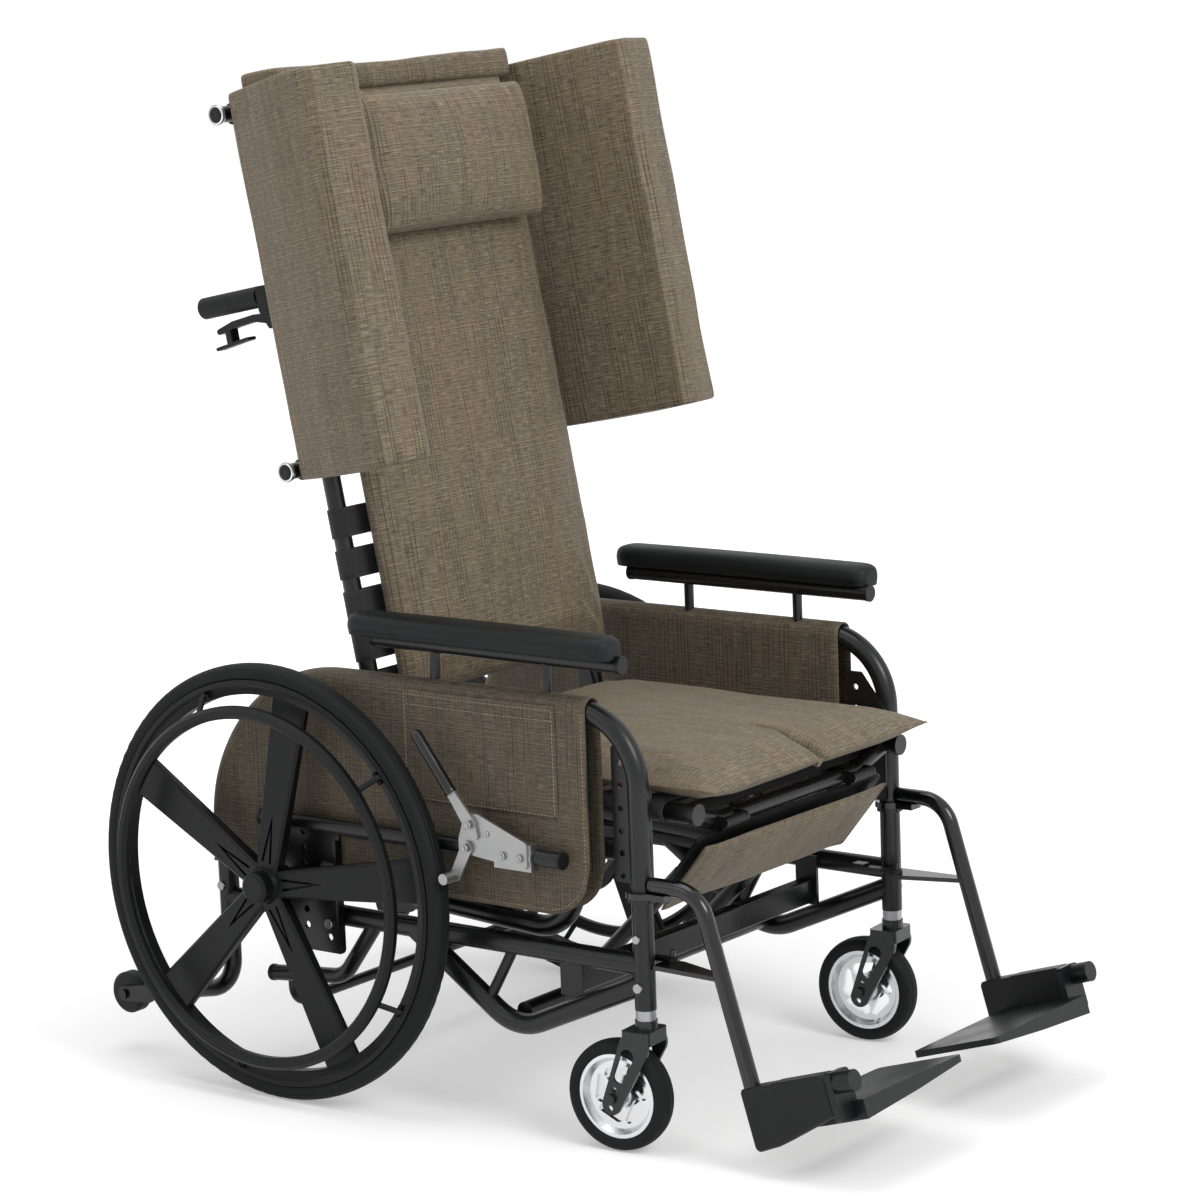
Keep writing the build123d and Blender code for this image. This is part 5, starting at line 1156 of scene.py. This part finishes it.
# ============================================================ brake trim
def turned_on(name, start, axis, profile, body, mat, turns=28):
    """A piece turned about a line: `profile` gives (along, radius) from its start."""
    axis = Vector(axis).normalized()
    across = axis.orthogonal().normalized()
    other = axis.cross(across)
    points = []
    for along, radius in profile:
        for a in turn_angles(turns):
            spread = across * (radius * math.cos(a)) + other * (radius * math.sin(a))
            points.append(tuple(Vector(start) + axis * along + spread))
    faces = grid_faces(len(profile), turns, wrap_cols=True)
    faces.append(tuple(reversed(range(turns))))
    faces.append(tuple(range((len(profile) - 1) * turns, len(profile) * turns)))
    outward(new_piece(name, points, faces, WORLD, body, mat))


def lever_sleeve(side, suffix):
    """The black sleeve over the brake lever, from its bend to its rounded tip."""
    start = Vector((side * BRAKE_LEVER_X, BRAKE_LEVER_BEND[0] + 3, BRAKE_LEVER_BEND[1] + 4))
    end = Vector((side * BRAKE_LEVER_X, BRAKE_LEVER_TIP[0] + 2, BRAKE_LEVER_TIP[1] + 2))
    reach = (end - start).length
    r = BRAKE_GRIP_R + 0.5
    profile = [(0, r - 1.2), (0.3, r - 0.2), (1.5, r + 0.3), (5, r + 0.3), (8, r), (reach * 0.6, r)]
    profile += [(reach + r * math.sin(a), r * math.cos(a)) for a in np.linspace(0, 1.5, 8)]
    body = "brake_lever" + suffix
    turned_on("brake_sleeve" + suffix, start, end - start, profile, body, SLEEVE)


def socket_screws(side, suffix):
    """Socket screws on the brake's clamp and plate, and on its two pivots."""
    plate = BRAKE_PLATE_X
    for number, (x, y, z, r) in enumerate(
        (
            (plate + 2.0, BRAKE_BLOCK_Y[0] + 16, BRAKE_Z, 5.4),
            (plate + 2.0, BRAKE_BLOCK_Y[1] - 18, BRAKE_Z, 5.4),
            (plate + 8.0, *BRAKE_LEVER_PIVOT, 5.6),
            (plate + 8.0, *BRAKE_ARM_PIVOT, 5.6),
            (plate, BRAKE_LEVER_PIVOT[0] - 25, BRAKE_LEVER_PIVOT[1] - 11, 4.4),
        )
    ):
        head = [(-0.2, r), (1.5, r), (2.1, r - 0.6), (2.1, r * 0.58), (0.4, r * 0.5), (0.4, 0.01)]
        name = "brake_screw_%d%s" % (number, suffix)
        turned_on(name, (side * x, y, z), (side, 0, 0), head, "frame", STEEL, turns=24)


for side, suffix in SIDES:
    lever_sleeve(side, suffix)
    socket_screws(side, suffix)


# ============================================================ finishes of the rigid sub-parts
# every other sub-part has the frame's satin black
FINISHES = {
    "anti_tip_wheel": RUBBER,
    "brake_arm": CAST,
    "brake_bases": CAST,
    "brake_lever": CAST,
    "calf_board": PLASTIC,
    "caster_fork": FORK_BLACK,
    "caster_rim": CHROME,
    "foot_extension": PLASTIC,
    "footplate": FOOT_PLASTIC,
    "footrest_hanger": BLACK_GLOSS,
    "frame_end_caps": PLASTIC,
    "frame_fittings": STEEL,
    "handrim": WHEEL_PLASTIC,
    "mag_wheel": WHEEL_PLASTIC,
    "push_grips": RUBBER,
    "recline_rods": CHROME,
    "tilt_rods": CHROME,
    "trigger": PLASTIC,
}
for name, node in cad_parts.items():
    if node.hide_render:
        continue
    stem = name.removesuffix("_left").removesuffix("_right")
    finish = FINISHES.get(stem, BLACK_FRAME)
    if not node.material_slots:
        node.data.materials.append(finish)
    for held in node.material_slots:
        held.material = finish


# ============================================================ camera, floor and light
CAMERA_TURN = (-52.32, 10.15, -2.09)
CAMERA_PLACE = (-4.23379, -3.30831, 1.62242)
CAMERA_LENS = 118.4
FLOOR_HALF = 14.0
FLOOR_FADE = (0.7, 2.2, 0.33, 0.75)
LIGHTS = (
    ("key", (-0.9, -3.9, 3.3), 2.2, 108.0),
    ("top", (-0.6, 0.6, 4.2), 3.0, 50.0),
    ("side", (-3.6, 1.4, 2.4), 2.0, 9.0),
)
LIGHTS_AIM = (0, 0, 0.6)


def set_camera():
    """The camera that was worked out from the photograph."""
    azimuth, elevation, roll = (math.radians(a) for a in CAMERA_TURN)
    level = math.cos(elevation)
    back = Vector((math.sin(azimuth) * level, -math.cos(azimuth) * level, math.sin(elevation)))
    right = (-back).cross(Vector((0, 0, 1))).normalized()
    up = right.cross(-back)
    across = math.cos(roll) * right + math.sin(roll) * up
    over = -math.sin(roll) * right + math.cos(roll) * up
    data = bpy.data.cameras.new("photo_camera")
    data.lens = CAMERA_LENS
    data.sensor_width = 36
    data.clip_end = 100
    camera = shown("photo_camera", data)
    matrix = Matrix((across, over, back)).transposed().to_4x4()
    matrix.translation = Vector(CAMERA_PLACE)
    camera.matrix_world = matrix
    bpy.context.scene.camera = camera


def set_floor():
    """A white floor that keeps the chair's shadow and otherwise meets the white background."""
    mesh = bpy.data.meshes.new("floor")
    corners = [(x * FLOOR_HALF, y * FLOOR_HALF, 0) for x, y in ((-1, -1), (1, -1), (1, 1), (-1, 1))]
    mesh.from_pydata(corners, [], [(0, 1, 2, 3)])
    floor = shown("floor", mesh)
    mat = bpy.data.materials.new("floor_white")
    n = Nodes(mat)
    reach = n.node("VectorMath")
    reach.operation = "LENGTH"
    n.feed(reach, 0, n.node("TexCoord").outputs["Object"])
    fade = n.ranged(reach.outputs["Value"], *FLOOR_FADE)
    glow = n.node("Emission", Strength=n.times(n.seen_directly(), fade))
    plain = n.node("BsdfDiffuse", Color=(0.80, 0.80, 0.80, 1))
    both = n.node("AddShader")
    n.feed(both, 0, plain.outputs[0])
    n.feed(both, 1, glow.outputs[0])
    n.node("OutputMaterial", Surface=both.outputs[0])
    mesh.materials.append(mat)


def set_light():
    """A white background that lights the chair at half its strength, and three soft lamps."""
    world = bpy.data.worlds.new("studio")
    bpy.context.scene.world = world
    n = Nodes(world)
    mix = n.node("MixShader")
    n.feed(mix, 0, n.seen_directly())
    for index, strength in ((1, 0.55), (2, 1.0)):
        white = n.node("Background", Color=(1, 1, 1, 1), Strength=strength)
        n.feed(mix, index, white.outputs[0])
    n.node("OutputWorld", Surface=mix.outputs[0])
    for name, place, size, power in LIGHTS:
        data = bpy.data.lights.new(name, "AREA")
        data.shape = "DISK"
        data.size = size
        data.energy = power
        lamp = shown(name, data)
        lamp.location = place
        aim = Vector(LIGHTS_AIM) - Vector(place)
        lamp.rotation_euler = aim.to_track_quat("-Z", "Y").to_euler()


set_camera()
set_floor()
set_light()
bpy.context.scene.view_settings.view_transform = "Standard"
